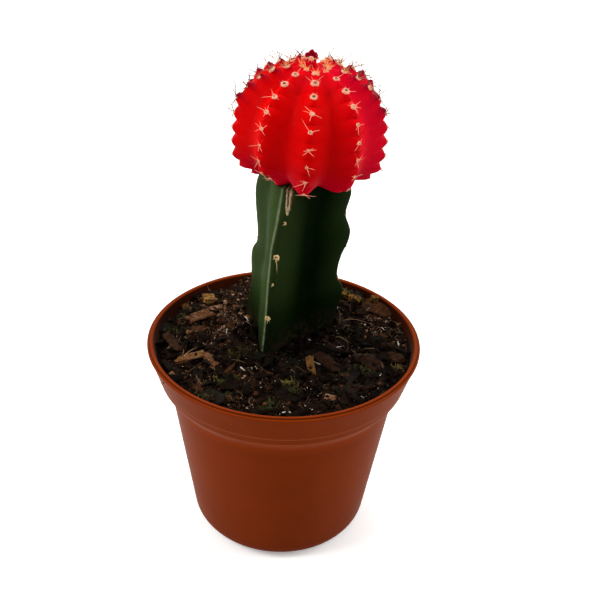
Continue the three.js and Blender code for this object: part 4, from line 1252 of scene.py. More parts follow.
def dry_places(draw, tries, clearance, chance, gain, most, count):
    """Places mostly on the drier patches: a try is kept by a chance that gains with dryness up to a most."""
    place = scattered(draw, tries, clearance)
    kept = draw.uniform(0, 1, len(place)) < np.clip(chance + gain * dryness_and_shadow(place), 0.02, most)
    return place[kept][:count]


def seated(place, lift, amount):
    """Places put on the lumpy level, with a lift."""
    height = lumpy_height(place[:, 0], place[:, 1], amount)
    return np.stack([place[:, 0], place[:, 1], height + lift], -1)


def scion_turn():
    """Rotation from the scion's own frame, tilted a little to the right and to the front."""
    axis = unit(np.array([math.tan(math.radians(SCION_TILT_X)), math.tan(math.radians(SCION_TILT_Y)), 1.0]))
    side = unit(np.array([1.0, 0, 0]) - axis[0] * axis)
    return np.stack([side, np.cross(axis, side), axis], -1)


def in_scion(points):
    """Points of the scion's own frame, turned and put in their place."""
    return points @ scion_turn().T + SCION_CENTRE


def globe_outline(polar):
    """Level and upright reach of the plain globe at a polar angle in degrees: its sine and cosine, each
    raised to 2 over the fullness, times the radius and the height."""
    angle = np.radians(polar)
    upper = polar < 90
    power = 2 / np.where(upper, UPPER_FULLNESS, LOWER_FULLNESS)
    level = SCION_RADIUS * np.maximum(np.sin(angle), 0) ** power
    height = np.where(upper, UPPER_HEIGHT, LOWER_HEIGHT) * np.abs(np.cos(angle)) ** power
    return level, height * np.sign(np.cos(angle))


def polar_at(run):
    """The polar angle at a run down the plain globe from its top, read from a table of summed chords."""
    polar = np.linspace(0, 180, 1801)
    level, height = globe_outline(polar)
    summed = np.concatenate([[0], np.cumsum(np.hypot(np.diff(level), np.diff(height)))])
    return np.interp(run, summed, polar)


def rib_values(turn):
    """Azimuth, start, gap and notch share between two ribs, eased from one to the next."""
    rib = np.floor(turn)
    share = turn - rib
    near = np.mod(rib, RIB_COUNT).astype(int)
    after = np.mod(rib + 1, RIB_COUNT).astype(int)
    azimuth = mix(RIBS[near, 0], RIBS[after, 0] + 360 * (after < near), share)
    eased = smooth_step(0, 1, share)
    start, gap, notch = (mix(RIBS[near, k], RIBS[after, k], eased) for k in (1, 2, 3))
    return share, azimuth, start * MM, gap * MM, notch


def scion_shape(turn, run):
    """The scion's surface. Turn counts ribs, whole at a crest and half in a valley, and run goes down from
    the top. The point of a flattened, filled-out globe is drawn in by the valley, whose depth is
    1 - (1 - flank) to the rounding, by the notch between two teeth and by the top's dip, and let out by its
    swellings, the teeth's knobs and fine noise."""
    share, azimuth, start, gap, notches = rib_values(turn)
    step = (run - start) / gap
    polar = polar_at(run)
    flank = 1 - np.abs(2 * share - 1)
    near_crest = 1 - flank
    soft = np.hypot(flank, CREST_SOFTNESS) - CREST_SOFTNESS
    soft = soft / (math.hypot(1, CREST_SOFTNESS) - CREST_SOFTNESS)
    depth = mix(VALLEY_DEPTH, LOW_VALLEY_DEPTH, smooth_step(92, 130, polar)) * smooth_step(0, 38, polar)
    valley = (1 - (1 - soft) ** VALLEY_ROUNDING) * depth
    swelling = 0
    for rib, middle, width, height in SWELLINGS:
        aside = np.mod(turn - rib + RIB_COUNT / 2, RIB_COUNT) - RIB_COUNT / 2
        away = (aside / SWELLING_WIDTH) ** 2 + ((polar - middle) / width) ** 2
        swelling = swelling + height * MM * np.exp(-away)
    tooth = np.abs(np.cos(np.pi * (step - TOOTH_LEAD))) ** TOOTH_SHARPNESS
    ripe = smooth_step(4, 26, polar)
    cell = np.stack([np.mod(np.round(turn), RIB_COUNT), np.round(step - TOOTH_LEAD)], -1)
    uneven = 1 + 0.18 * hashed(cell, SEED)
    notch = TOOTH_DEPTH * notches * uneven * ripe * (1 - tooth) * near_crest**TOOTH_FADE
    band = (1 - tooth) ** 2 * ripe * near_crest**0.7
    outer = smooth_step(0.65, 1.0, notches)
    past = step - np.floor(step)
    knob = np.exp(-(((past - 0.73) / 0.2) ** 2)) * near_crest**3 * outer * smooth_step(86, 58, polar) * ripe
    dip = TOP_DIP * np.exp(-((polar / TOP_DIP_WIDTH) ** 2))
    level, height = globe_outline(polar)
    point = outward(azimuth) * level[..., None] + height[..., None] * np.array([0, 0, 1])
    reach = np.linalg.norm(point, axis=-1)
    ripple = 0.14 * MM * noise(point, 5 * MM, 31) + 0.04 * MM * noise(point, 1.6 * MM, 37)
    drawn = notch + valley + dip + 0.12 * MM * band - ripple - swelling - KNOB_HEIGHT * knob
    point = point * ((reach - drawn) / reach)[..., None]
    # The tip value is partly the knobs' crimson and partly painted shade on the teeth of the side and back
    # ribs
    tip = 1.5 * knob + 0.5 * near_crest**7 * outer * tooth**2 * smooth_step(20, 50, polar)
    young = 0.85 * smooth_step(0.35, 1, np.sin(np.radians(azimuth))) + 0.3 * smooth_step(40, 10, polar)
    # Painted shade: the valley value darkens the flesh down the valleys, and the valley, tip and young
    # values all rise over the lower half of the globe to darken its underside
    values = {
        "valley": np.maximum(flank**1.2, 0.9 * smooth_step(78, 112, polar)),
        "tip": np.clip(tip + 0.16 * smooth_step(84, 116, polar), 0, 1),
        "young": np.clip(young + 0.8 * smooth_step(102, 136, polar), 0, 1),
        "band": band,
    }
    return in_scion(point), values


def scion_areoles():
    """Rib, polar angle, place and axes of every areole between the top and the graft. The axes run level
    along the rib's flank, down the rib and straight out."""
    rib, step = np.meshgrid(np.arange(RIB_COUNT), np.arange(AREOLES_PER_RIB), indexing="ij")
    rib, step = rib.ravel(), step.ravel()
    run = (RIBS[rib, 1] + RIBS[rib, 2] * step) * MM
    polar = polar_at(run)
    place, _ = scion_shape(rib.astype(float), run)
    keep = (polar < 150) & (place[:, 2] > GRAFT_Z + 0.9 * MM)
    rib, run, place = rib[keep].astype(float), run[keep], place[keep]
    (above, _), (below, _) = (scion_shape(rib, run + side * 0.7 * MM) for side in (-1, 1))
    (left, _), (right, _) = (scion_shape(rib + side * 0.06, run) for side in (-1, 1))
    down = unit(below - above)
    out = unit(np.cross(down, right - left))
    out = mix(out, unit(place - SCION_CENTRE), 0.5)
    return rib, polar[keep], place, frames(unit(out), down)


def felt_pads(place, axes, sizes, ringed):
    """Felt pads: a dome whose height is the root of 1 - r to the 2.4, hollowed in the middle where it is
    ringed, with rough noise over it. The pit value marks the hollow."""
    columns, rows = 20, 9
    radius = np.linspace(0.12, 1, rows)[:, None]
    angle = 2 * np.pi * np.arange(columns) / columns
    dome = np.sqrt(np.clip(1 - radius**2.4, 0, 1)) + 0 * angle
    count = len(place)
    hollow = ringed[:, None, None] * np.exp(-((radius / 0.42) ** 2)) * 0.95 + 0 * angle
    offset = 13.0 * np.arange(count)[:, None, None, None]
    flat = np.stack([radius * np.cos(angle), radius * np.sin(angle)], -1)
    uneven = rough_noise(flat + offset, 0.5, 3, 5)
    height = (dome - hollow) * (1 + 0.22 * uneven) * 0.62 - 0.12
    spread = 1 + 0.14 * uneven
    body = np.stack([flat[..., 0] * spread, flat[..., 1] * spread * 0.86, height], -1)
    pole = np.stack([np.zeros(count), np.zeros(count), height[:, 0].mean(1)], -1)
    under = np.tile([0, 0, -0.5], (count, 1))
    body = np.concatenate([body.reshape(count, -1, 3), pole[:, None], under[:, None]], 1)
    points = np.einsum("nij,nvj->nvi", axes, body * sizes[:, None, None]) + place[:, None]
    pit = (ringed[:, None, None] * np.exp(-((radius / 0.52) ** 4)) + 0 * angle).reshape(count, -1)
    pit = np.concatenate([pit, ringed[:, None], np.zeros((count, 1))], 1)
    return points, flipped(repeated(closed_faces(rows, columns), count, rows * columns + 2)), {"pit": pit}


class CACTUS_OT_groups(bpy.types.Operator):
    """Builds the shader groups that several finishes share."""

    bl_idname = "cactus.groups"
    bl_label = "Shared finishes"

    def execute(self, context):
        build_mottle_group()
        build_speck_group()
        build_scuff_group()
        return {"FINISHED"}


class CACTUS_OT_pot(bpy.types.Operator):
    """Turns the pot's section and cuts its drains and foot channels."""

    bl_idname = "cactus.pot"
    bl_label = "Pot"

    def execute(self, context):
        radius, z = pot_section().T[..., None, None]
        rows = outward(np.linspace(-180, 180, 241)[:-1]) * radius + z * np.array([0, 0, 1])
        poles = [(0, 0, BASE_PANEL_RISE), (0, 0, BASE_PANEL_RISE + FLOOR_THICKNESS)]
        points = np.concatenate([rows.reshape(-1, 3), poles])
        pot = mesh_object("pot_shell", points, flipped(closed_faces(*rows.shape[:2])))
        cut_away(pot, drains_and_channels())
        pot.data.set_sharp_from_angle(angle=math.radians(38))
        finished(pot, plastic_material(context.scene.cactus_pot), "pot")
        return {"FINISHED"}


class CACTUS_OT_soil(bpy.types.Operator):
    """Models the settled mix with its lumps, up to the pot's wall and round the stem."""

    bl_idname = "cactus.soil"
    bl_label = "Soil"

    def execute(self, context):
        look = context.scene.cactus_soil
        rows = soil_rows(look.relief)
        base = (0, 0, FLOOR_THICKNESS + GAP + BASE_PANEL_RISE)
        level = soil_height(rows[..., 0], rows[..., 1])
        # Painted shade: how far below the settled level a point lies, for darkening the hollows
        hollow = smooth_step(0.1, -0.9, (rows[..., 2] - level) / look.relief)
        soil = closed_object("soil_mix", rows, stem_axis(BURIED_Z + 1 * MM), base, {"hollow": hollow})
        finished(soil, mix_material(look), "soil")
        return {"FINISHED"}


class CACTUS_OT_bark(bpy.types.Operator):
    """Lays the bark chips, named ones first, the crumbs, and the pale dry crumbs and shreds, which also
    stand for painted glints.
    """

    bl_idname = "cactus.bark"
    bl_label = "Bark and crumbs"

    def execute(self, context):
        look = context.scene.cactus_soil
        draw = np.random.default_rng(SEED)
        material = bark_material(look)

        def lay(name, shapes, **values):
            finished(mesh_object(name, *shapes[:2], values), material)

        named = np.array(NAMED_CHIPS, float)
        place = seated(named[:, :2] * MM, 0, 0) + named[:, 8:9] * MM * [0, 0, 1]
        axes = turned_axes(*named[:, 5:8].T)
        chips = lumps(place, axes, named[:, 2:5] * MM, 26, 13, 3, 0.42, 0.3, (0.5, 2.6, 2.6))
        lay("bark_chips_large", chips, tone=named[:, 9], lichen=named[:, 10])

        place = scattered(draw, look.chips, 1.4 * MM)
        count = len(place)
        length = np.minimum(draw.gamma(3.0, 1.0, count) * MM + 1.2 * MM, 7 * MM)
        width = length * draw.uniform(0.28, 0.66, count)
        sizes = np.stack([length, width, draw.uniform(0.35, 1.1, count) * MM], -1)
        axes = tossed(draw, count, 19, 24)
        place = seated(place, draw.uniform(-0.1, 0.7, count) * MM, look.relief)
        # The tone follows the patches, so the chips, like the crumbs below, are darkened by the painted
        # shadow of the stem
        tone = draw.beta(0.7, 2.2, count) * 0.72 + dryness_and_shadow(place)
        lay("bark_chips_small", lumps(place, axes, sizes, 12, 6, 7, 0.4, 0.34, (0.5, 2.2, 2.2)), tone=tone)

        place = scattered(draw, look.crumbs, 0.7 * MM)
        count = len(place)
        size = (0.35 + draw.gamma(1.3, 0.3, count)) * MM
        sizes = size[:, None] * draw.uniform(0.55, 1.4, (count, 3))
        axes = turned_axes(*(draw.uniform(0, 360, count) for _ in range(3)))
        place = seated(place, draw.uniform(-0.15, 0.5, count) * size, look.relief)
        tone = draw.beta(0.55, 2.2, count) + 1.2 * dryness_and_shadow(place)
        tone = tone + draw.uniform(0, 0.7, count) * (size < 0.6 * MM) * (dryness_and_shadow(place) > 0.02)
        lay("soil_crumbs", lumps(place, axes, sizes, 6, 3, 23, 0.7, 0.42), tone=tone)

        # Pale dry crumbs, which also stand for painted glints of the wet mix
        place = dry_places(draw, 9000, 0.6 * MM, 0.10, 1.5, 0.7, 1200)
        count = len(place)
        size = draw.uniform(0.2, 0.46, count) * MM
        sizes = size[:, None] * draw.uniform(0.5, 1.5, (count, 3)) * [1.7, 0.8, 0.55]
        axes = tossed(draw, count, 35, 40)
        place = seated(place, draw.uniform(0.3, 1.0, count) * size + 0.2 * MM, look.relief)
        crumbs = lumps(place, axes, sizes, 5, 3, 29, 0.7, 0.4)
        lay("soil_pale_crumbs_and_glints", crumbs, tone=draw.uniform(0.3, 1.0, count))

        # Pale curled shreds, which also stand for painted glints of the wet mix
        place = dry_places(draw, 16000, 0.8 * MM, 0.05, 2.2, 0.9, 2600)
        count = len(place)
        direction = outward(draw.uniform(0, 360, count)) + draw.uniform(0.1, 0.9, (count, 1)) * [0, 0, 1]
        bend = draw.normal(0, 0.5, (count, 3)) - [0, 0, 0.5]
        length = draw.uniform(0.8, 2.4, count) * MM
        radius = draw.uniform(0.04, 0.07, count) * MM
        place = seated(place, 0.3 * MM, look.relief)
        shreds = threads(place, unit(direction), bend, length, radius, 3, 4, 0.3)
        lay("soil_shreds_and_glints", shreds, tone=draw.uniform(0.35, 1.2, count))
        return {"FINISHED"}


class CACTUS_OT_grit(bpy.types.Operator):
    """Places the few pale bits, which stand for both mineral grit and painted glints."""

    bl_idname = "cactus.grit"
    bl_label = "Grit and glints"

    def execute(self, context):
        draw = np.random.default_rng(SEED + 1)
        seen = np.array(PALE_BITS) * MM
        place = np.concatenate([seen, scattered(draw, 260, 1 * MM)[:, :2]])
        count, own = len(place), len(seen)
        size = np.concatenate([draw.uniform(0.5, 0.9, own), draw.uniform(0.16, 0.36, count - own)]) * MM
        place = seated(place, 0.45 * size + 0.1 * MM, context.scene.cactus_soil.relief)
        sizes = size[:, None] * draw.uniform(0.5, 1.4, (count, 3)) * [2.5, 0.6, 0.4]
        bits = lumps(place, tossed(draw, count, 30, 40), sizes, 9, 5, 61, 0.75, 0.5)
        finished(mesh_object("grit_and_glints", *bits), grit_and_glint_material())
        return {"FINISHED"}


class CACTUS_OT_moss(bpy.types.Operator):
    """Grows the small moss tufts."""

    bl_idname = "cactus.moss"
    bl_label = "Moss"

    def execute(self, context):
        draw = np.random.default_rng(SEED + 2)
        tufts = np.array(MOSS_PLACES) * MM
        each = 170
        reach = np.repeat(draw.uniform(0.9, 1.8, len(tufts)), each)[:, None]
        spread = draw.normal(0, 1, (len(tufts) * each, 2)) * reach * [1.3, 0.8] * MM
        place = np.repeat(tufts, each, 0) + spread
        place = place[np.hypot(place[:, 0], place[:, 1]) < wall_reach(1.2 * MM)]
        count = len(place)
        place = seated(place, 0.1 * MM, context.scene.cactus_soil.relief)
        direction = unit(draw.normal(0, 0.55, (count, 3)) * [1, 1, 0.2] + [0, 0, 1])
        bend = draw.normal(0, 0.3, (count, 3)) * [1, 1, 0.3]
        length = draw.uniform(0.5, 1.3, count) * MM
        radius = draw.uniform(0.09, 0.17, count) * MM
        points, faces, along = threads(place, direction, bend, length, radius, 3, 3, 0.7)
        finished(mesh_object("moss_tufts", points, faces, {"along": along}), moss_material())
        return {"FINISHED"}


class CACTUS_OT_fibres(bpy.types.Operator):
    """Lays the loose fibres and the root strands at the stem's foot."""

    bl_idname = "cactus.fibres"
    bl_label = "Fibres and roots"

    def execute(self, context):
        look = context.scene.cactus_soil
        draw = np.random.default_rng(SEED + 3)
        place = seated(scattered(draw, look.fibres, 4 * MM), 0.35 * MM, look.relief)
        count = len(place)
        level = outward(draw.uniform(0, 360, count))
        direction = unit(level + [0, 0, 1] * draw.uniform(-0.05, 0.2, count)[:, None])
        bend = draw.normal(0, 0.35, (count, 3)) * [1, 1, 0.25]
        length = draw.uniform(2.5, 8, count) * MM
        reach = np.hypot(*(place + length[:, None] * (direction + bend))[:, :2].T)
        length = np.where(reach > wall_reach(0.6 * MM), 0.35 * length, length)
        radius = draw.uniform(0.04, 0.12, count) * MM
        loose = threads(place, direction, bend, length, radius, 4, 8, 0.35)
        tones = draw.uniform(0.05, 0.9, count) ** 1.4
        root, heading, curl, (length, radius, strand_tones) = np.split(np.array(STRANDS).T, (3, 6, 9))
        strands = threads(root.T * MM, unit(heading.T), curl.T, length * MM, radius * MM, 6, 10, 0.4)
        parts = ((loose, tones), (strands, strand_tones))
        tone = np.concatenate([np.repeat(tones, made[0].shape[1]) for made, tones in parts])
        fibres = mesh_object("root_fibres", *joined([loose[:2], strands[:2]]), {"tone": tone})
        finished(fibres, fibre_material())
        return {"FINISHED"}


class CACTUS_OT_rootstock(bpy.types.Operator):
    """Grows the green stem with its crests, shoulders and scar."""

    bl_idname = "cactus.rootstock"
    bl_label = "Rootstock"

    def execute(self, context):
        z = [np.linspace(GRAFT_Z, 60 * MM, 330), np.linspace(59 * MM, BURIED_Z, 24)]
        z = np.concatenate(z)[:, None]
        even = np.linspace(0, 1, 72)[:-1][None]
        share = mix(even, 0.5 - 0.5 * np.cos(np.pi * even), 0.72)
        points, marks = zip(*(stem_face(z, face, share) for face in range(3)))
        values = {key: np.concatenate([own[key] for own in marks], 1) for key in marks[0]}
        values["dirt"] = smooth_step(76 * MM, 65 * MM, z)
        rows = np.concatenate(points, 1)
        stem = closed_object("rootstock_stem", rows, stem_axis(GRAFT_Z), stem_axis(BURIED_Z), values)
        finished(stem, stem_material(context.scene.cactus_stem), "rootstock")
        return {"FINISHED"}


class CACTUS_OT_stem_areoles(bpy.types.Operator):
    """Sets the rootstock's felt pads and their short spines."""

    bl_idname = "cactus.stem_areoles"
    bl_label = "Rootstock areoles"

    def execute(self, context):
        draw = np.random.default_rng(SEED + 4)
        outs, middles = [], []
        for face, height, aside, _ in STEM_AREOLES:
            azimuth, radius = face_section(height * MM, face, aside / 120)
            outs.append(outward(azimuth) * radius)
            middles.append(stem_axis(height * MM))
        outs = np.array(outs)
        places = outs + middles
        count = len(places)
        axes = frames(outs, np.tile([0.0, 0, -1], (count, 1)))
        felt = context.scene.cactus_stem.felt
        sizes = np.array(STEM_AREOLES)[:, 3] * MM
        wool = mesh_object("rootstock_felt", *felt_pads(places, axes, sizes, np.full(count, 1.3)))
        finished(wool, wool_material("Rootstock felt", felt, (0.05, 0.016, 0.004)))
        owner, turn, lengths = np.array(STEM_SPINES).T
        owner, turn = owner.astype(int), np.radians(turn)
        around = np.stack([-np.sin(turn), np.cos(turn), np.full(len(turn), 0.4)], -1)
        direction = unit(carried(axes[owner], around))
        bends = draw.normal(0, 0.07, (len(owner), 3))
        widths = np.full(len(owner), 0.085 * MM)
        points, faces, along = threads(
            places[owner], direction, bends, lengths * MM, widths, 5, 5, 0.6
        )
        spines = mesh_object("rootstock_spines", points, faces, {"along": along})
        finished(spines, spine_material("Rootstock spines", felt))
        return {"FINISHED"}


class CACTUS_OT_scion(bpy.types.Operator):
    """Grows the red ribbed globe."""

    bl_idname = "cactus.scion"
    bl_label = "Scion"

    def execute(self, context):
        turn = np.arange(RIB_COUNT * 34)[None] / 34
        run = np.linspace(0.3, 62, 262)[:, None] * MM
        rows, values = scion_shape(turn + 0 * run, run + 0 * turn)
        rows[..., 2] = np.maximum(rows[..., 2], GRAFT_Z + GAP)
        top = in_scion(np.array([0, 0, UPPER_HEIGHT - TOP_DIP]))
        ball = closed_object("scion_globe", rows, top, rows[-1].mean(0), values)
        finished(ball, scion_material(context.scene.cactus_scion), "scion")
        return {"FINISHED"}


class CACTUS_OT_bud(bpy.types.Operator):
    """Raises the young growth: a red column, a ring of felt and a pointed crimson cap of three lobes."""

    bl_idname = "cactus.bud"
    bl_label = "Top bud"

    def execute(self, context):
        draw = np.random.default_rng(SEED + 7)
        columns, rows = 60, 44
        fall = np.linspace(0.04, BUD_HEIGHT + 0.2, rows)[:, None]
        angle = 2 * np.pi * np.arange(columns)[None] / columns
        radius = np.interp(fall, *np.array(BUD_RADII).T)
        cap = smooth_step(2.1, 1.5, fall) * smooth_step(0.1, 0.9, fall)
        radius = radius * (1 + 0.3 * np.cos(3 * angle - 4.71) * cap + 0.05 * np.cos(7 * angle) * (1 - cap))
        level = np.stack([radius * np.cos(angle), radius * np.sin(angle), BUD_HEIGHT - fall + 0 * angle], -1)
        base = np.array([BUD_X, BUD_Y, UPPER_HEIGHT - TOP_DIP - 0.45 * MM])
        values = {"valley": 0.2, "tip": 0.9 * smooth_step(2.2, 1.9, fall), "young": 0.8, "band": 0}
        peak = in_scion(base + [0, 0, BUD_HEIGHT * MM])
        foot = in_scion(base - [0, 0, 0.2 * MM])
        bud = closed_object("top_bud", in_scion(level * MM + base), peak, foot, values)
        finished(bud, bpy.data.materials["Scion skin"])

        turned = scion_turn()
        middle, sizes = np.array(BUD_LOBES)[:, :3] * MM, np.array(BUD_LOBES)[:, 3:] * MM
        axes = np.tile(turned, (len(middle), 1, 1))
        lobes = lumps(in_scion(middle + base), axes, sizes, 16, 9, 83, 1.0, 0.16)
        lobes = mesh_object("bud_lobes", *lobes, {"tip": 0.85, "young": 0.8})
        finished(lobes, bpy.data.materials["Scion skin"])

        pads, each = 5, 13
        out = outward(360 / pads * np.arange(pads))
        place = in_scion(out * 1.3 * MM + base + [0, 0, 3.0 * MM])
        axes = frames(mix(out, np.array([0, 0, 1.0]), 0.38) @ turned.T, np.tile(-turned[:, 2], (pads, 1)))
        felt = mesh_object("bud_felt", *felt_pads(place, axes, np.full(pads, 0.78 * MM), np.full(pads, 0.3)))
        finished(felt, bpy.data.materials["Areole wool"])

        count = pads * each
        level, down = draw.normal(0, 0.8, count), draw.normal(0.25, 0.6, count)
        heading = np.stack([level, down, draw.uniform(0.5, 1.1, count)], -1)
        direction = unit(carried(np.repeat(axes, each, 0), heading))
        bend = draw.normal(0, 0.1, (count, 3))
        length = draw.uniform(1.0, 2.3, count) * MM
        radius = np.full(count, 0.085 * MM)
        points, faces, along = threads(
            np.repeat(place, each, 0), direction, bend, length, radius, 4, 5, 0.7
        )
        spines = mesh_object("bud_spines", points, faces, {"along": along})
        finished(spines, spine_material("Bud spines", context.scene.cactus_scion.wool))
        return {"FINISHED"}


class CACTUS_OT_wool(bpy.types.Operator):
    """Felts every areole of the scion."""

    bl_idname = "cactus.wool"
    bl_label = "Areole wool"

    def execute(self, context):
        draw = np.random.default_rng(SEED + 5)
        _, polar, place, axes = scion_areoles()
        size = np.interp(polar, *np.array(PAD_RADII).T)
        size = size * draw.uniform(0.84, 1.16, len(size)) * MM
        ringed = np.where((polar > 14) & (polar < 34), 1.0, draw.uniform(0.25, 1.0, len(size)))
        material = wool_material("Areole wool", context.scene.cactus_scion.wool, (0.045, 0.001, 0.003))
        pads = mesh_object("scion_felt", *felt_pads(place, axes, size, ringed))
        finished(pads, material)

        each = 22
        axes, wide = np.repeat(axes, each, 0), np.repeat(size, each)
        count = len(wide)
        angle = draw.uniform(0, 2 * np.pi, count)
        start = np.stack([np.cos(angle), 0.86 * np.sin(angle), 0.35 + 0 * angle], -1)
        start = start * (wide * draw.uniform(0.35, 0.95, count))[:, None]
        heading = np.stack([np.cos(angle), np.sin(angle), draw.uniform(0.3, 1.6, count)], -1)
        roots = np.repeat(place, each, 0) + carried(axes, start)
        bend = draw.normal(0, 0.5, (count, 3))
        length = wide * draw.uniform(0.2, 0.6, count)
        radius = np.full(count, 0.026 * MM)
        hairs = threads(roots, unit(carried(axes, heading)), bend, length, radius, 3, 3, 0.5)
        finished(mesh_object("scion_hairs", *hairs[:2], {"pit": 0}), material)
        return {"FINISHED"}


class CACTUS_OT_spines(bpy.types.Operator):
    """Sets the scion's curved spines, a small star on each areole, and the golden ones round the bud."""

    bl_idname = "cactus.spines"
    bl_label = "Spines"

    def execute(self, context):
        look = context.scene.cactus_scion
        draw = np.random.default_rng(SEED + 6)
        rib, polar, place, axes = scion_areoles()
        each = len(SPINE_STAR)
        fan, shorter, chance = (np.tile(row, len(place)) for row in np.array(SPINE_STAR).T)
        turned = np.repeat(axes, each, 0)
        steep = np.repeat(polar, each)
        front = np.repeat(RIBS[rib.astype(int), 3] < 0.9, each)
        count = len(steep)
        angle = np.radians(fan + draw.normal(0, 20, count))
        out = np.where(steep < 30, draw.uniform(0.6, 1.8, count), draw.uniform(0.2, 0.8, count))
        direction = unit(carried(turned, np.stack([np.sin(angle), -np.cos(angle), out], -1)))
        bend = carried(turned, draw.normal(0, 0.11, (count, 3)) - [0, 0, 0.08])
        grown = np.interp(steep, [5, 16, 45, 70, 110, 140], [0.6, 0.9, 1.0, 1.0, 0.85, 0.7])
        length = look.spine_length * grown * shorter * draw.uniform(0.5, 1.2, count)
        chance = np.where(front & (steep > 16) & (steep < 46), 0.34 * chance, chance)
        chance = np.where(~front & (steep < 75), 0.66, chance)
        kept = (draw.uniform(0, 1, count) < chance) & (steep > 15)
        low = np.repeat(place[:, 2], each) < GRAFT_Z + 3 * MM
        direction[:, 2] = np.where(low, np.maximum(direction[:, 2], -0.15), direction[:, 2])
        # The spines round the globe's outline are longer, thicker and stored as darkened
        rim = ~front & (steep < 80)
        length = np.where(rim, 1.95 * length, length)
        radius = np.where(rim, 0.095, 0.08) * MM * draw.uniform(0.7, 1.15, count)
        darkened = np.where(rim, draw.uniform(0.6, 1.0, count), 0.0)[kept]
        strands = [np.repeat(place, each, 0), unit(direction), bend, length, radius]
        points, faces, along = threads(*(array[kept] for array in strands), 5, 7, 0.3)
        spines = mesh_object("scion_spines", points, faces, {"along": along, "darkened": darkened})
        finished(spines, spine_material("Spines", look.spine))

        young = polar < 19
        each = 12
        count = each * int(young.sum())
        level, down = draw.normal(0, 0.9, count), draw.normal(0, 0.9, count)
        heading = np.stack([level, down, draw.uniform(0.5, 1.3, count)], -1)
        direction = unit(carried(np.repeat(axes[young], each, 0), heading))
        bend = draw.normal(0, 0.12, (count, 3))
        length = draw.uniform(1.2, 3.0, count) * MM
        roots = np.repeat(place[young], each, 0)
        radius = np.full(count, 0.09 * MM)
        points, faces, along = threads(roots, direction, bend, length, radius, 4, 6, 0.6)
        spines = mesh_object("young_spines", points, faces, {"along": along})
        finished(spines, spine_material("Young spines", look.young_spine, 0.6))
        return {"FINISHED"}


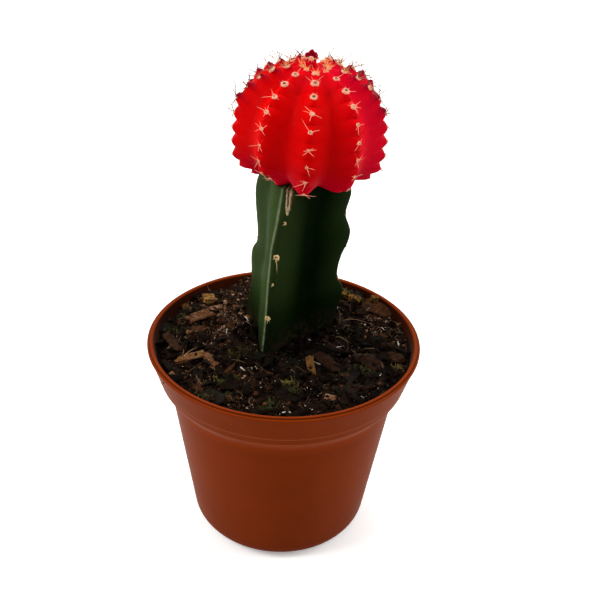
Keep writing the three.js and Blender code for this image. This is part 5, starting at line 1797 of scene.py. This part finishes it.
class CACTUS_OT_stage(bpy.types.Operator):
    """Sets the floor, the lights, the surroundings and the camera."""

    bl_idname = "cactus.stage"
    bl_label = "Stage"

    def execute(self, context):
        scene = context.scene
        corners = FLOOR_HALF * np.array([(-1, -1, 0), (1, -1, 0), (1, 1, 0), (-1, 1, 0)])
        floor = mesh_object("studio_floor", corners, [np.array([[0, 1, 2, 3]])])
        floor.data.materials.append(floor_material(scene.cactus_stage))
        self.add_world(scene)
        for lamp in LAMPS:
            self.add_lamp(scene, *lamp)
        self.add_camera(scene)
        scene.view_settings.view_transform = "Standard"
        scene.view_settings.look = "None"
        return {"FINISHED"}

    def add_world(self, scene):
        """Surroundings: bright at the sides, behind and overhead, and dim behind the camera."""
        world = bpy.data.worlds.new("Studio")
        world.use_nodes = True
        tree = world.node_tree
        background = tree.nodes["Background"]
        background.inputs["Color"].default_value = (1.0, 0.98, 0.94, 1)
        direction = node(tree, "ShaderNodeTexCoord").outputs["Generated"]
        parts = node(tree, "ShaderNodeSeparateXYZ", {"Vector": direction}).outputs
        bright = ranged(tree, times(tree, parts["Y"], -1.0), -0.35, 0.6, 1.0, 0.22)
        left = ranged(tree, times(tree, parts["X"], -1.0), -0.5, 0.8, 0.9, 1.15)
        lit = times(tree, times(tree, bright, left), scene.cactus_stage.world)
        seen = node(tree, "ShaderNodeLightPath").outputs["Is Camera Ray"]
        tree.links.new(reckoned(tree, "MAXIMUM", lit, seen), background.inputs["Strength"])
        scene.world = world

    def add_lamp(self, scene, name, place, size, power):
        """A large soft lamp aimed at the plant."""
        data = bpy.data.lights.new(name, "AREA")
        data.shape = "DISK"
        data.size = size
        data.energy = power
        lamp = bpy.data.objects.new(name, data)
        scene.collection.objects.link(lamp)
        aim = Vector((0, 0, 0.1)) - Vector(place)
        lamp.matrix_world = Matrix.Translation(place) @ aim.to_track_quat("-Z", "Y").to_matrix().to_4x4()

    def add_camera(self, scene):
        """Camera that looks at the rim's centre, then pans, tilts and rolls to the photograph's framing."""
        away = Vector((0, -math.cos(CAMERA_ELEVATION), math.sin(CAMERA_ELEVATION)))
        right = Vector((1, 0, 0))
        axes = np.array((right, right.cross(-away), -away))
        pan, tilt = np.degrees(np.arctan2((AIM_X, AIM_Y), FOCAL_PIXELS))
        seen = turned_axes(CAMERA_ROLL, pan, tilt) @ axes * [[1], [1], [-1]]
        data = bpy.data.cameras.new("camera")
        data.sensor_width = SENSOR_WIDTH
        data.lens = FOCAL_PIXELS / FRAME_PIXELS * SENSOR_WIDTH
        data.clip_start = 0.01
        camera = bpy.data.objects.new("camera", data)
        scene.collection.objects.link(camera)
        place = CAMERA_DISTANCE * away + Vector((0, 0, POT_HEIGHT))
        camera.matrix_world = Matrix.Translation(place) @ Matrix(seen.T.tolist()).to_4x4()
        scene.camera = camera


class CACTUS_PT_panel(bpy.types.Panel):
    """Lists the pieces in the order they are built."""

    bl_idname = "CACTUS_PT_panel"
    bl_label = "Potted moon cactus"
    bl_space_type = "VIEW_3D"
    bl_region_type = "UI"
    bl_category = "Moon cactus"

    def draw(self, context):
        for operator in OPERATORS:
            self.layout.operator(operator.bl_idname)
        for key, _ in SETTINGS:
            settings = getattr(context.scene, key)
            box = self.layout.box()
            for name in settings.__annotations__:
                box.prop(settings, name)


SETTINGS = [
    ("cactus_pot", PotSettings),
    ("cactus_soil", SoilSettings),
    ("cactus_stem", StemSettings),
    ("cactus_scion", ScionSettings),
    ("cactus_stage", StageSettings),
]
OPERATORS = [
    CACTUS_OT_groups, CACTUS_OT_pot, CACTUS_OT_soil, CACTUS_OT_bark, CACTUS_OT_grit, CACTUS_OT_moss,
    CACTUS_OT_fibres, CACTUS_OT_rootstock, CACTUS_OT_stem_areoles, CACTUS_OT_scion, CACTUS_OT_wool,
    CACTUS_OT_bud, CACTUS_OT_spines, CACTUS_OT_stage,
]


def register():
    for key, settings in SETTINGS:
        bpy.utils.register_class(settings)
        setattr(bpy.types.Scene, key, PointerProperty(type=settings))
    for operator in OPERATORS:
        bpy.utils.register_class(operator)
    bpy.utils.register_class(CACTUS_PT_panel)


def unregister():
    bpy.utils.unregister_class(CACTUS_PT_panel)
    for operator in reversed(OPERATORS):
        bpy.utils.unregister_class(operator)
    for key, settings in reversed(SETTINGS):
        delattr(bpy.types.Scene, key)
        bpy.utils.unregister_class(settings)


def main():
    register()
    for operator in OPERATORS:
        group, name = operator.bl_idname.split(".")
        getattr(getattr(bpy.ops, group), name)()


if __name__ == "__main__":
    main()
